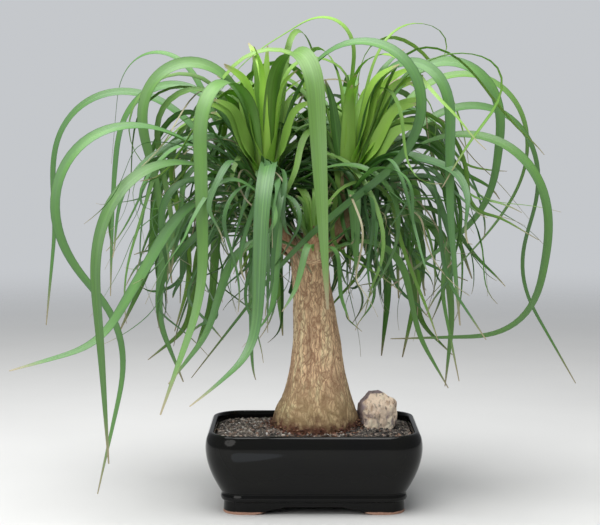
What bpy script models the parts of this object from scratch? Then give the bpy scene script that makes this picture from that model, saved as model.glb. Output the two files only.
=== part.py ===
"""A ponytail palm in a low glazed pot, with the soil, a stone and the drain screens under the soil.

Metres, +Z up. The origin is the middle of the pot's base, on the surface that its feet stand on.
+X is the plant's long side and -Y is the front.
"""

import math
from collections import namedtuple

import bmesh
import bpy
from mathutils import Matrix, Vector

MM = 0.001
GAP = 0.3 * MM

# Pot: half sizes are taken at the widest part of the body.
POT_HALF_LENGTH = 99 * MM
POT_HALF_DEPTH = 76 * MM
POT_CORNER = 30 * MM
FOOT_HEIGHT = 7 * MM
FLOOR_TOP = 14 * MM
# (height, how far the wall stands in from the widest part), from the feet up to the lip.
POT_OUTSIDE = (
    (0, 16), (11, 16.5), (12, 14.6), (15, 13.6), (18, 14.6), (19, 14.2), (26, 10.2),
    (34, 6.2), (43, 2.8), (52, 0.7), (60, 0), (66, 0.5), (70.5, 1.8), (73.2, 3.4), (74, 5.2),
)
# The same for the inside, from the lip down to the floor.
POT_INSIDE = ((73.6, 7), (71.5, 8), (66, 8.2), (56, 8.6), (44, 10), (30, 15), (20, 20), (14, 25))
DRAIN_HOLE_RADIUS = 7 * MM
DRAIN_HOLE_X = 42 * MM
FOOT_RING_WIDTH = 12 * MM
# One end of the arch cut between two feet: (distance in from the corner of the base, height).
FOOT_SCROLL = ((27, 0), (31, 0.4), (36, 1.6), (41, 3.4), (46, 4.6), (50, 5.2), (53, 5.6), (56, 6.9))

SCREEN_SIZE = 26 * MM
SCREEN_CELLS = 4
SCREEN_THICKNESS = 1.2 * MM

# Soil: the level at the wall, and (share of the way in from the wall, rise) up to the trunk.
SOIL_EDGE = 66.5 * MM
SOIL_MOUND = ((0.03, 0.6), (0.2, 1.6), (0.4, 3.2), (0.56, 5))

# Trunk: (x, height, radius) up the middle of it. The first three are in the soil.
TRUNK = (
    (1, 46, 24), (1, 50, 33), (1, 60, 39.5), (1, 73, 41), (1, 80, 40), (1, 88, 37.5), (2, 97, 33.5),
    (3, 108, 30), (3, 125, 26), (3, 140, 23.8), (3, 155, 22), (1, 175, 20), (-1, 195, 18.4),
    (-3, 215, 17.6), (-4, 232, 17.8), (-4, 244, 17), (-4, 252, 12),
)
TRUNK_SIDES = 28
# The soil is cut to fit round the trunk up to this height.
TRUNK_BED_TOP = 88
# Where the branches' middle lines meet, inside the top of the trunk.
FORK_HEIGHT = 224

# Growing points: where each branch ends, and how thick it is there.
Head = namedtuple("Head", "x y z radius")
HEADS = {
    "left": Head(-44, -14, 316, 11),
    "right": Head(30, -14, 316, 11),
    "back_left": Head(-46, 46, 284, 10),
    "back_right": Head(36, 48, 286, 10),
    "front": Head(0, -40, 262, 8),
}
BRANCH_SIDES = 12
# A growing point narrows over this length, by this share, to its tip.
TAPER_LENGTH = 22
TAPER_SHARE = 0.55
# How far a leaf's base stands off the growing point.
LEAF_SEAT = 0.75

STONE_CENTRE = (60, 8, 84)
STONE_SIZE = (33, 30, 36)
STONE_TURN = 12
# Where the block split: (point, direction that broke away), on a block of side 1.
STONE_SPLITS = (
    ((0.30, 0, 0.38), (0.75, 0.1, 1)), ((-0.42, 0, 0.30), (-1, 0.2, 0.9)),
    ((0, -0.42, 0.30), (0.1, -1, 0.8)), ((0.40, -0.40, 0), (1, -0.9, 0.1)),
    ((-0.42, -0.38, 0), (-1, -1, 0.2)), ((0, 0.40, 0.25), (0.2, 1, 0.7)),
    ((0.42, 0.42, 0), (1, 1, 0.1)), ((-0.42, 0.40, 0), (-1, 1, 0)),
    ((0.36, 0, -0.40), (0.8, 0, -1)), ((-0.40, 0, -0.40), (-0.8, 0, -1)),
)

LEAF_THICKNESS = 0.8 * MM
LEAF_STEPS = 13
# Shares of a blade's full width at its base and its tip.
BASE_SHARE = 0.42
TIP_SHARE = 0.1
# Shares of its length: where the tip's own slope starts, how long that takes, and where its roll ends.
TIP_START = 0.6
TIP_TURN = 0.25
ROLL_END = 0.4
# How far below a growing point's tip its flattest leaves sit. Steeper ones sit higher.
LOWEST_SEAT = 30

# Leaves. Angles are in degrees, lengths in millimetres.
#   heading: the direction it leaves in (0 is +X, 270 is the front); sweep: how far that turns by the tip
#   rise: how steeply it leaves; fall: how steeply it hangs past its crest; tip: how steeply its end runs
#   crest: the share of its length where it turns over; bend: half the share that the turn takes
#   roll: how far the blade turns about its own length
Leaf = namedtuple("Leaf", "head heading sweep rise crest bend fall tip length width roll")
LEAVES = {
    # The left growing point.
    "left_leaf_1": Leaf("left", 190, 0, 78, 0.39, 0.28, -106, -98, 355, 14, -55),
    "left_leaf_2": Leaf("left", 236, 0, 76, 0.26, 0.18, -92, -58, 425, 15, -18),
    "left_leaf_3": Leaf("left", 278, -56, 38, 0.23, 0.23, -84, -26, 325, 16, 0),
    "left_leaf_4": Leaf("left", 168, 0, 62, 0.38, 0.26, -84, -88, 350, 11, -50),
    "left_leaf_5": Leaf("left", 202, 6, 34, 0.37, 0.28, -132, -76, 520, 11, -50),
    "left_leaf_6": Leaf("left", 222, 0, 22, 0.38, 0.30, -96, -94, 405, 12, -40),
    "left_leaf_7": Leaf("left", 214, -8, 10, 0.20, 0.20, -56, -12, 300, 13, -35),
    "left_leaf_8": Leaf("left", 302, 0, 84, 0.34, 0.18, -84, -84, 370, 20, 25),
    "left_leaf_9": Leaf("left", 338, 10, 26, 0.42, 0.30, -96, -120, 240, 8, 30),
    "left_leaf_10": Leaf("left", 331, 34, 73, 0.335, 0.26, -142, -128, 572, 12, 50),
    "left_leaf_11": Leaf("left", 290, -80, 18, 0.14, 0.14, -84, -40, 175, 11, 0),
    "left_leaf_12": Leaf("left", 121, 0, 56, 0.38, 0.28, -84, -86, 370, 12, -35),
    "left_leaf_13": Leaf("left", 150, 0, 88, 0.90, 0.30, 70, 70, 110, 13, 0),
    "left_leaf_14": Leaf("left", 60, 0, 94, 0.90, 0.30, 84, 80, 112, 14, 20),
    # The right growing point.
    "right_leaf_1": Leaf("right", 358, -6, 66, 0.37, 0.23, -96, -142, 415, 13, 55),
    "right_leaf_2": Leaf("right", 328, 6, 76, 0.34, 0.20, -90, -84, 380, 12, 50),
    "right_leaf_3": Leaf("right", 18, 0, 42, 0.39, 0.28, -112, -58, 462, 11, 50),
    "right_leaf_4": Leaf("right", 346, -6, 36, 0.34, 0.28, -100, -176, 450, 11, 50),
    "right_leaf_5": Leaf("right", 326, -4, 48, 0.26, 0.26, -84, -50, 250, 14, -20),
    "right_leaf_6": Leaf("right", 280, 0, 22, 0.20, 0.18, -84, -80, 95, 12, 0),
    "right_leaf_7": Leaf("right", 284, 0, 88, 0.80, 0.20, 20, 10, 100, 14, 0),
    "right_leaf_8": Leaf("right", 87, 0, 70, 0.36, 0.24, -86, -70, 320, 13, 0),
    "right_leaf_9": Leaf("right", 166, 0, 97, 0.42, 0.14, -30, -52, 325, 8, -20),
    "right_leaf_10": Leaf("right", 38, 0, 58, 0.34, 0.26, -84, -112, 320, 12, 40),
    "right_leaf_11": Leaf("right", 232, 0, 78, 0.90, 0.20, 60, 50, 90, 12, 10),
    "right_leaf_12": Leaf("right", 24, 0, 76, 0.80, 0.30, 40, 30, 130, 14, 40),
    # The two at the back.
    "back_left_leaf_1": Leaf("back_left", 177, 2, 54, 0.48, 0.32, -112, -84, 440, 11, -45),
    "back_left_leaf_2": Leaf("back_left", 162, 2, 64, 0.60, 0.22, -72, -84, 320, 8, -40),
    "back_left_leaf_3": Leaf("back_left", 143, 0, 46, 0.36, 0.26, -86, -58, 320, 13, 20),
    "back_left_leaf_4": Leaf("back_left", 104, 0, 72, 0.38, 0.24, -86, -110, 310, 14, 10),
    "back_left_leaf_5": Leaf("back_left", 82, 4, 48, 0.26, 0.22, -86, -50, 250, 13, 0),
    "back_left_leaf_6": Leaf("back_left", 120, 10, 30, 0.28, 0.24, -84, -60, 240, 12, 20),
    "back_left_leaf_7": Leaf("back_left", 206, -8, 24, 0.30, 0.26, -84, -112, 240, 11, -45),
    "back_left_leaf_8": Leaf("back_left", 152, 0, 14, 0.22, 0.22, -80, -36, 210, 11, 30),
    "back_left_leaf_9": Leaf("back_left", 66, 0, 66, 0.38, 0.22, -86, -90, 330, 12, -10),
    "back_right_leaf_1": Leaf("back_right", 6, -6, 68, 0.42, 0.30, -110, -132, 460, 10, 45),
    "back_right_leaf_2": Leaf("back_right", 40, 0, 64, 0.40, 0.26, -86, -64, 310, 13, -35),
    "back_right_leaf_3": Leaf("back_right", 56, 0, 46, 0.32, 0.26, -86, -114, 310, 13, -20),
    "back_right_leaf_4": Leaf("back_right", 70, 0, 72, 0.39, 0.26, -86, -84, 400, 14, -10),
    "back_right_leaf_5": Leaf("back_right", 108, -10, 44, 0.28, 0.24, -86, -70, 220, 13, 0),
    "back_right_leaf_6": Leaf("back_right", 62, 8, 26, 0.26, 0.24, -84, -110, 210, 12, -20),
    "back_right_leaf_7": Leaf("back_right", 336, 8, 22, 0.28, 0.26, -84, -96, 230, 11, 45),
    "back_right_leaf_8": Leaf("back_right", 34, 0, 12, 0.22, 0.22, -80, -40, 200, 11, -30),
    "back_right_leaf_9": Leaf("back_right", 148, 0, 72, 0.42, 0.22, -84, -108, 290, 12, 10),
    # The low one at the front.
    "front_leaf_1": Leaf("front", 196, 0, 26, 0.26, 0.24, -72, -50, 200, 11, -40),
    "front_leaf_2": Leaf("front", 262, -40, 34, 0.22, 0.22, -62, -46, 92, 7, -20),
    "front_leaf_3": Leaf("front", 312, 0, 30, 0.20, 0.20, -84, -60, 84, 9, -20),
    "front_leaf_4": Leaf("front", 358, 0, 22, 0.28, 0.24, -78, -60, 200, 11, 40),
}

# Finishes: colour, roughness, metallic.
GLAZE = ((0.006, 0.006, 0.008), 0.12, 0)
GRIT = ((0.16, 0.13, 0.11), 0.95, 0)
BARK = ((0.42, 0.28, 0.17), 0.85, 0)
PALE_STONE = ((0.55, 0.44, 0.36), 0.8, 0)
MESH_PLASTIC = ((0.02, 0.02, 0.02), 0.5, 0)
LEAF_GREEN = ((0.09, 0.24, 0.05), 0.45, 0)


def clear_scene():
    for obj in list(bpy.data.objects):
        bpy.data.objects.remove(obj)


def new_collection(name, helpers=False):
    collection = bpy.data.collections.new(name)
    collection.hide_render = helpers
    bpy.context.scene.collection.children.link(collection)
    return collection


def new_material(name, finish):
    colour, roughness, metallic = finish
    material = bpy.data.materials.new(name)
    material.use_nodes = True
    shader = material.node_tree.nodes["Principled BSDF"]
    shader.inputs["Base Color"].default_value = (*colour, 1)
    shader.inputs["Roughness"].default_value = roughness
    shader.inputs["Metallic"].default_value = metallic
    return material


def mesh_object(name, bm, collection, finish=None, smooth=math.radians(40)):
    """An object made from a bmesh, with its own material if it is a part."""
    bmesh.ops.recalc_face_normals(bm, faces=bm.faces)
    mesh = bpy.data.meshes.new(name)
    bm.to_mesh(mesh)
    bm.free()
    mesh.shade_smooth()
    mesh.set_sharp_from_angle(angle=smooth)
    obj = bpy.data.objects.new(name, mesh)
    collection.objects.link(obj)
    if finish:
        mesh.materials.append(new_material(name, finish))
    return obj


def cutter_object(name, bm, collection):
    cutter = mesh_object(name, bm, collection)
    cutter.hide_render = True
    cutter.display_type = "WIRE"
    return cutter


def add_boolean(obj, other, operation="DIFFERENCE"):
    modifier = obj.modifiers.new(other.name, "BOOLEAN")
    modifier.operation = operation
    modifier.solver = "EXACT"
    modifier.object = other


def loft(bm, rings):
    """A closed solid through rings of equal point counts, with a flat face at each end."""
    loops = [[bm.verts.new(point) for point in ring] for ring in rings]
    for lower, upper in zip(loops, loops[1:]):
        for i in range(len(lower)):
            j = (i + 1) % len(lower)
            bm.faces.new((lower[i], lower[j], upper[j], upper[i]))
    bm.faces.new(loops[0][::-1])
    bm.faces.new(loops[-1])


def rounded_ring(half_x, half_y, radius, height, steps=6):
    """The points of a rectangle with round corners, from the +X end of the front right corner."""
    points = []
    for quarter, (sx, sy) in enumerate(((1, 1), (-1, 1), (-1, -1), (1, -1))):
        for step in range(steps + 1):
            angle = math.radians(90 * (quarter + step / steps))
            x = sx * (half_x - radius) + radius * math.cos(angle)
            y = sy * (half_y - radius) + radius * math.sin(angle)
            points.append(Vector((x, y, height)))
    return points


def pot_ring(height, inset):
    """The pot's outline where its wall stands in by inset."""
    radius = max(POT_CORNER - 0.7 * inset, 6 * MM)
    return rounded_ring(POT_HALF_LENGTH - inset, POT_HALF_DEPTH - inset, radius, height)


def inside_inset(height):
    """How far in the pot's inner wall stands at a height."""
    rows = [(h * MM, i * MM) for h, i in POT_INSIDE]
    for (high, near), (low, far) in zip(rows, rows[1:]):
        if height >= low:
            return far + (near - far) * (height - low) / (high - low)
    return rows[-1][1]


def make_pot(parts, cutters):
    rings = [pot_ring(h * MM, i * MM) for h, i in POT_OUTSIDE + POT_INSIDE]
    bm = bmesh.new()
    loft(bm, rings)
    pot = mesh_object("pot", bm, parts, GLAZE)

    # The base is hollow inside the ring that the feet are cut from.
    inset = POT_OUTSIDE[0][1] * MM + FOOT_RING_WIDTH
    bm = bmesh.new()
    loft(bm, [pot_ring(-5 * MM, inset), pot_ring(FOOT_HEIGHT, inset)])
    add_boolean(pot, cutter_object("under_base", bm, cutters))

    arches = (("arches_front_back", POT_HALF_LENGTH, 0), ("arches_ends", POT_HALF_DEPTH, 90))
    for name, half, turn in arches:
        corner = half - POT_OUTSIDE[0][1] * MM
        side = [(corner - x * MM, z * MM) for x, z in FOOT_SCROLL]
        outline = [(side[0][0], -5 * MM)] + side
        outline += [(-x, z) for x, z in outline[::-1]]
        turned = Matrix.Rotation(math.radians(turn), 3, "Z")
        reach = 2 * POT_HALF_LENGTH
        bm = bmesh.new()
        loft(bm, [[turned @ Vector((x, y, z)) for x, z in outline] for y in (-reach, reach)])
        add_boolean(pot, cutter_object(name, bm, cutters))

    for side in (-1, 1):
        bm = bmesh.new()
        place = Matrix.Translation((side * DRAIN_HOLE_X, 0, FLOOR_TOP / 2))
        bmesh.ops.create_cone(
            bm, cap_ends=True, segments=24, radius1=DRAIN_HOLE_RADIUS, radius2=DRAIN_HOLE_RADIUS,
            depth=2 * FLOOR_TOP, matrix=place,
        )
        add_boolean(pot, cutter_object("drain_hole", bm, cutters))


def make_screen(name, x, parts):
    """A square of plastic mesh lying on the pot's floor, over a drain hole."""
    bm = bmesh.new()
    height = FLOOR_TOP + GAP + SCREEN_THICKNESS / 2
    place = Matrix.Translation((x, 0, height))
    bmesh.ops.create_grid(
        bm, x_segments=SCREEN_CELLS, y_segments=SCREEN_CELLS, size=SCREEN_SIZE / 2, matrix=place
    )
    screen = mesh_object(name, bm, parts, MESH_PLASTIC)
    strands = screen.modifiers.new("strands", "WIREFRAME")
    strands.thickness = SCREEN_THICKNESS
    strands.use_boundary = True


def tube_rings(path, sides, grow=0):
    """Level rings along a path of (x, y, height, radius)."""
    rings = []
    for x, y, height, radius in path:
        ring = []
        for i in range(sides):
            angle = 2 * math.pi * i / sides
            reach = radius + grow
            ring.append(Vector((x + reach * math.cos(angle), y + reach * math.sin(angle), height)) * MM)
        rings.append(ring)
    return rings


def head_radius(head, drop):
    """How thick a growing point is at a distance below its tip."""
    return head.radius * (1 - TAPER_SHARE * max(0, 1 - drop / TAPER_LENGTH))


def branch_path(head):
    """From the fork at the top of the trunk, out and up to a growing point, and over its tip."""
    fork = Vector((-4, 0, FORK_HEIGHT))
    neck = Vector((head.x, head.y, head.z - 30))
    path = []
    for share in (0.12, 0.3, 0.5, 0.7, 0.86):
        out = fork.lerp(neck, math.sin(math.radians(90 * share)))
        path.append((out.x, out.y, fork.z + (neck.z - fork.z) * share, 11 + (head.radius - 11) * share))
    for drop in (30, TAPER_LENGTH, 15, 8, 3, 0):
        path.append((head.x, head.y, head.z - drop, head_radius(head, drop)))
    return path


def make_trunk(parts, cutters):
    bm = bmesh.new()
    loft(bm, tube_rings([(x, 0, z, r) for x, z, r in TRUNK], TRUNK_SIDES))
    trunk = mesh_object("trunk", bm, parts, BARK)
    for name, head in HEADS.items():
        bm = bmesh.new()
        loft(bm, tube_rings(branch_path(head), BRANCH_SIDES))
        add_boolean(trunk, cutter_object(name + "_branch", bm, cutters), "UNION")


def stone_mesh(grow=0):
    """A block split from bigger rock: a cube cut by slanting planes."""
    bm = bmesh.new()
    bmesh.ops.create_cube(bm, size=1)
    scale = Vector([side + 2 * grow for side in STONE_SIZE]) * MM
    for point, normal in STONE_SPLITS:
        geometry = bm.verts[:] + bm.edges[:] + bm.faces[:]
        cut = bmesh.ops.bisect_plane(bm, geom=geometry, plane_co=point, plane_no=normal, clear_outer=True)
        edges = [e for e in cut["geom_cut"] if isinstance(e, bmesh.types.BMEdge)]
        bmesh.ops.contextual_create(bm, geom=edges)
    turned = Matrix.Rotation(math.radians(STONE_TURN), 4, "Z")
    place = Matrix.Translation([v * MM for v in STONE_CENTRE]) @ turned
    bmesh.ops.transform(bm, matrix=place @ Matrix.Diagonal((*scale, 1)), verts=bm.verts)
    return bm


def make_stone(parts):
    mesh_object("stone", stone_mesh(), parts, PALE_STONE, smooth=math.radians(15))


def make_soil(parts, cutters):
    """The mix that fills the pot, mounded to the trunk, with beds for the trunk, stone and screens."""
    levels = [h * MM for h, _ in POT_INSIDE[:2:-1]] + [SOIL_EDGE]
    levels[0] += GAP
    rings = [pot_ring(level, inside_inset(level) + 1.2 * GAP) for level in levels]
    edge = rings[-1]
    for share, rise in SOIL_MOUND:
        height = SOIL_EDGE + rise * MM
        rings.append([Vector((p.x * (1 - share), p.y * (1 - share), height)) for p in edge])
    bm = bmesh.new()
    loft(bm, rings)
    soil = mesh_object("soil", bm, parts, GRIT)

    bm = bmesh.new()
    foot = [(x, 0, z, r) for x, z, r in TRUNK if z <= TRUNK_BED_TOP]
    foot[0] = (foot[0][0], 0, foot[0][2] - GAP / MM, foot[0][3])
    loft(bm, tube_rings(foot, TRUNK_SIDES, grow=GAP / MM + 0.1))
    add_boolean(soil, cutter_object("trunk_bed", bm, cutters))
    add_boolean(soil, cutter_object("stone_bed", stone_mesh(grow=0.5), cutters))
    for side in (-1, 1):
        bm = bmesh.new()
        place = Matrix.Translation((side * DRAIN_HOLE_X, 0, FLOOR_TOP))
        size = SCREEN_SIZE + SCREEN_THICKNESS + 4 * GAP
        depth = 2 * (SCREEN_THICKNESS + 3 * GAP)
        bmesh.ops.create_cube(bm, size=1, matrix=place @ Matrix.Diagonal((size, size, depth, 1)))
        add_boolean(soil, cutter_object("screen_bed", bm, cutters))


def ease(value):
    """0 below 0, 1 above 1, and a smooth step between."""
    value = min(1, max(0, value))
    return value * value * (3 - 2 * value)


def leaf_direction(leaf, s):
    """Which way a leaf runs, and which way lies across it, at a share s of its length."""
    turned = ease((s - leaf.crest + leaf.bend) / (2 * leaf.bend))
    ended = ease((s - TIP_START) / TIP_TURN)
    elevation = leaf.rise + (leaf.fall - leaf.rise) * turned + (leaf.tip - leaf.fall) * ended
    elevation = math.radians(elevation)
    heading = math.radians(leaf.heading + leaf.sweep * s)
    out = Vector((math.cos(heading), math.sin(heading), 0))
    along = out * math.cos(elevation) + Vector((0, 0, math.sin(elevation)))
    level = Vector((-math.sin(heading), math.cos(heading), 0))
    return along, Matrix.Rotation(math.radians(leaf.roll * ease(s / ROLL_END)), 3, along) @ level


def leaf_sections(leaf, steps):
    """(middle of the blade, direction across it, its width) at each step from base to tip, in metres."""
    head = HEADS[leaf.head]
    start = math.radians(leaf.heading)
    drop = max(1.5, LOWEST_SEAT - 0.32 * (leaf.rise - 10))
    out = Vector((math.cos(start), math.sin(start), 0))
    seat = Vector((head.x, head.y, head.z - drop)) + out * (head_radius(head, drop) + LEAF_SEAT)
    middle = seat * MM
    sections = []
    for step in range(steps + 1):
        s = step / steps
        width = leaf.width * MM * min(1, BASE_SHARE + 4 * s) * (1 - (1 - TIP_SHARE) * s**2.4)
        sections.append((middle.copy(), leaf_direction(leaf, s)[1], width))
        middle += leaf_direction(leaf, s + 0.5 / steps)[0] * leaf.length * MM / steps
    return sections


def make_leaf(name, leaf, parts):
    """A thin blade: an open strip, thickened."""
    bm = bmesh.new()
    edges = []
    for middle, across, width in leaf_sections(leaf, LEAF_STEPS):
        edges.append([bm.verts.new(middle + across * width * side / 2) for side in (-1, 1)])
    for (a, b), (c, d) in zip(edges, edges[1:]):
        bm.faces.new((a, b, d, c))
    blade = mesh_object(name, bm, parts, LEAF_GREEN)
    thick = blade.modifiers.new("thickness", "SOLIDIFY")
    thick.thickness = LEAF_THICKNESS
    thick.offset = 0


def main():
    clear_scene()
    parts = new_collection("ponytail_palm")
    cutters = new_collection("cutters", helpers=True)
    make_pot(parts, cutters)
    make_screen("drain_screen_left", -DRAIN_HOLE_X, parts)
    make_screen("drain_screen_right", DRAIN_HOLE_X, parts)
    make_soil(parts, cutters)
    make_trunk(parts, cutters)
    make_stone(parts)
    for name, leaf in LEAVES.items():
        make_leaf(name, leaf, parts)


main()
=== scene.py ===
"""The looks of a potted ponytail palm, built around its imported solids.

Metres, +Z up, with the same frame as the solids: the origin is under the middle of the pot, and -Y is the front.
Run it in Blender as a script. Each operator makes one piece or one group of like pieces.
"""

import math
import random
from collections import namedtuple

import bmesh
import bpy
from bpy.props import FloatProperty, FloatVectorProperty, IntProperty, PointerProperty
from mathutils import Matrix, Vector, noise


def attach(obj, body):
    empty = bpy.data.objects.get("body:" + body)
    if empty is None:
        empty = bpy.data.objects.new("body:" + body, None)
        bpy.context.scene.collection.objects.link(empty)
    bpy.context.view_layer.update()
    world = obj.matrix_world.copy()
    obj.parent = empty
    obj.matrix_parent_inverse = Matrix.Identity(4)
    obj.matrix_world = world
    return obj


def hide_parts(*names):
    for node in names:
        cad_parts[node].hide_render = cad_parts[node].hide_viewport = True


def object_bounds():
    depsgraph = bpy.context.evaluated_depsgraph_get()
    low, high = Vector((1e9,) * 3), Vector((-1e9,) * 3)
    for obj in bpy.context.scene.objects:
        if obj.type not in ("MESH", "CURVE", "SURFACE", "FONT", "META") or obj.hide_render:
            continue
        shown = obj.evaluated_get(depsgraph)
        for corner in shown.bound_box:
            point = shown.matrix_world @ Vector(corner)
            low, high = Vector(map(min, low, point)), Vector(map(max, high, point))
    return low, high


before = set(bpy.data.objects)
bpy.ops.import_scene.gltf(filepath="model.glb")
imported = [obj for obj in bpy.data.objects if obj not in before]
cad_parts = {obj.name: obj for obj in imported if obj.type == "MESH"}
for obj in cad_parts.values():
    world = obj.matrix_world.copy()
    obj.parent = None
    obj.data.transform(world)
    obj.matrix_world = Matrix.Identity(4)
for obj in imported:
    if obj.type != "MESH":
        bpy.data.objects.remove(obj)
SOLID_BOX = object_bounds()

bl_info = {
    "name": "Potted Ponytail Palm",
    "version": (1, 0, 0),
    "blender": (4, 5, 0),
    "location": "View3D > Sidebar > Ponytail Palm",
    "description": "Builds a ponytail palm in a low glazed pot, with its grit, stone, studio floor and lights",
    "category": "Add Mesh",
}

MM = 0.001

# Pot, as in the solids: half sizes at the widest part of the body, then the wall's outside and inside.
POT_HALF_LENGTH = 99 * MM
POT_HALF_DEPTH = 76 * MM
POT_CORNER = 30 * MM
FOOT_HEIGHT = 7 * MM
FLOOR_TOP = 14 * MM
# (height, how far the wall stands in from the widest part), from the feet up to the lip.
POT_OUTSIDE = (
    (0, 16), (11, 16.5), (12, 14.6), (15, 13.6), (18, 14.6), (19, 14.2), (26, 10.2),
    (34, 6.2), (43, 2.8), (52, 0.7), (60, 0), (66, 0.5), (70.5, 1.8), (73.2, 3.4), (74, 5.2),
)
# The same for the inside, from the lip down to the floor.
POT_INSIDE = ((73.6, 7), (71.5, 8), (66, 8.2), (56, 8.6), (44, 10), (30, 15), (20, 20), (14, 25))
DRAIN_HOLE_RADIUS = 7 * MM
DRAIN_HOLE_X = 42 * MM
FOOT_RING_WIDTH = 12 * MM
# One end of the arch cut between two feet: (distance in from the corner of the base, height).
FOOT_SCROLL = ((27, 0), (31, 0.4), (36, 1.6), (41, 3.4), (46, 4.6), (50, 5.2), (53, 5.6), (56, 6.9))

# Soil: the level at the wall, and (share of the way in from the wall, rise) up to the trunk.
SOIL_EDGE = 66.5 * MM
SOIL_MOUND = ((0, 0), (0.03, 0.6), (0.2, 1.6), (0.4, 3.2), (0.56, 5))
SOIL_GAP = 0.36 * MM

# Trunk: (x, height, radius) up the middle of it. The first three are in the soil.
TRUNK = (
    (1, 46, 24), (1, 50, 33), (1, 60, 39.5), (1, 73, 41), (1, 80, 40), (1, 88, 37.5), (2, 97, 33.5),
    (3, 108, 30), (3, 125, 26), (3, 140, 23.8), (3, 155, 22), (1, 175, 20), (-1, 195, 18.4),
    (-3, 215, 17.6), (-4, 232, 17.8), (-4, 244, 17), (-4, 252, 12),
)
FORK_HEIGHT = 224

# Growing points: where each branch ends, and how thick it is there.
Head = namedtuple("Head", "x y z radius")
HEADS = {
    "left": Head(-44, -14, 316, 11),
    "right": Head(30, -14, 316, 11),
    "back_left": Head(-46, 46, 284, 10),
    "back_right": Head(36, 48, 286, 10),
    "front": Head(0, -40, 262, 8),
}
TAPER_LENGTH = 22
TAPER_SHARE = 0.55
LEAF_SEAT = 0.75
LOWEST_SEAT = 30

STONE_CENTRE = (60, 8, 84)
STONE_SIZE = (33, 30, 36)
STONE_TURN = 12
STONE_SPLITS = (
    ((0.30, 0, 0.38), (0.75, 0.1, 1)), ((-0.42, 0, 0.30), (-1, 0.2, 0.9)),
    ((0, -0.42, 0.30), (0.1, -1, 0.8)), ((0.40, -0.40, 0), (1, -0.9, 0.1)),
    ((-0.42, -0.38, 0), (-1, -1, 0.2)), ((0, 0.40, 0.25), (0.2, 1, 0.7)),
    ((0.42, 0.42, 0), (1, 1, 0.1)), ((-0.42, 0.40, 0), (-1, 1, 0)),
    ((0.36, 0, -0.40), (0.8, 0, -1)), ((-0.40, 0, -0.40), (-0.8, 0, -1)),
)

# Leaves. Angles are in degrees, lengths in millimetres.
#   heading: the direction it leaves in (0 is +X, 270 is the front); sweep: how far that turns by the tip
#   rise: how steeply it leaves; fall: how steeply it hangs past its crest; tip: how steeply its end runs
#   crest: the share of its length where it turns over; bend: half the share that the turn takes
#   roll: how far the blade turns about its own length
Leaf = namedtuple("Leaf", "head heading sweep rise crest bend fall tip length width roll")
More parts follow.
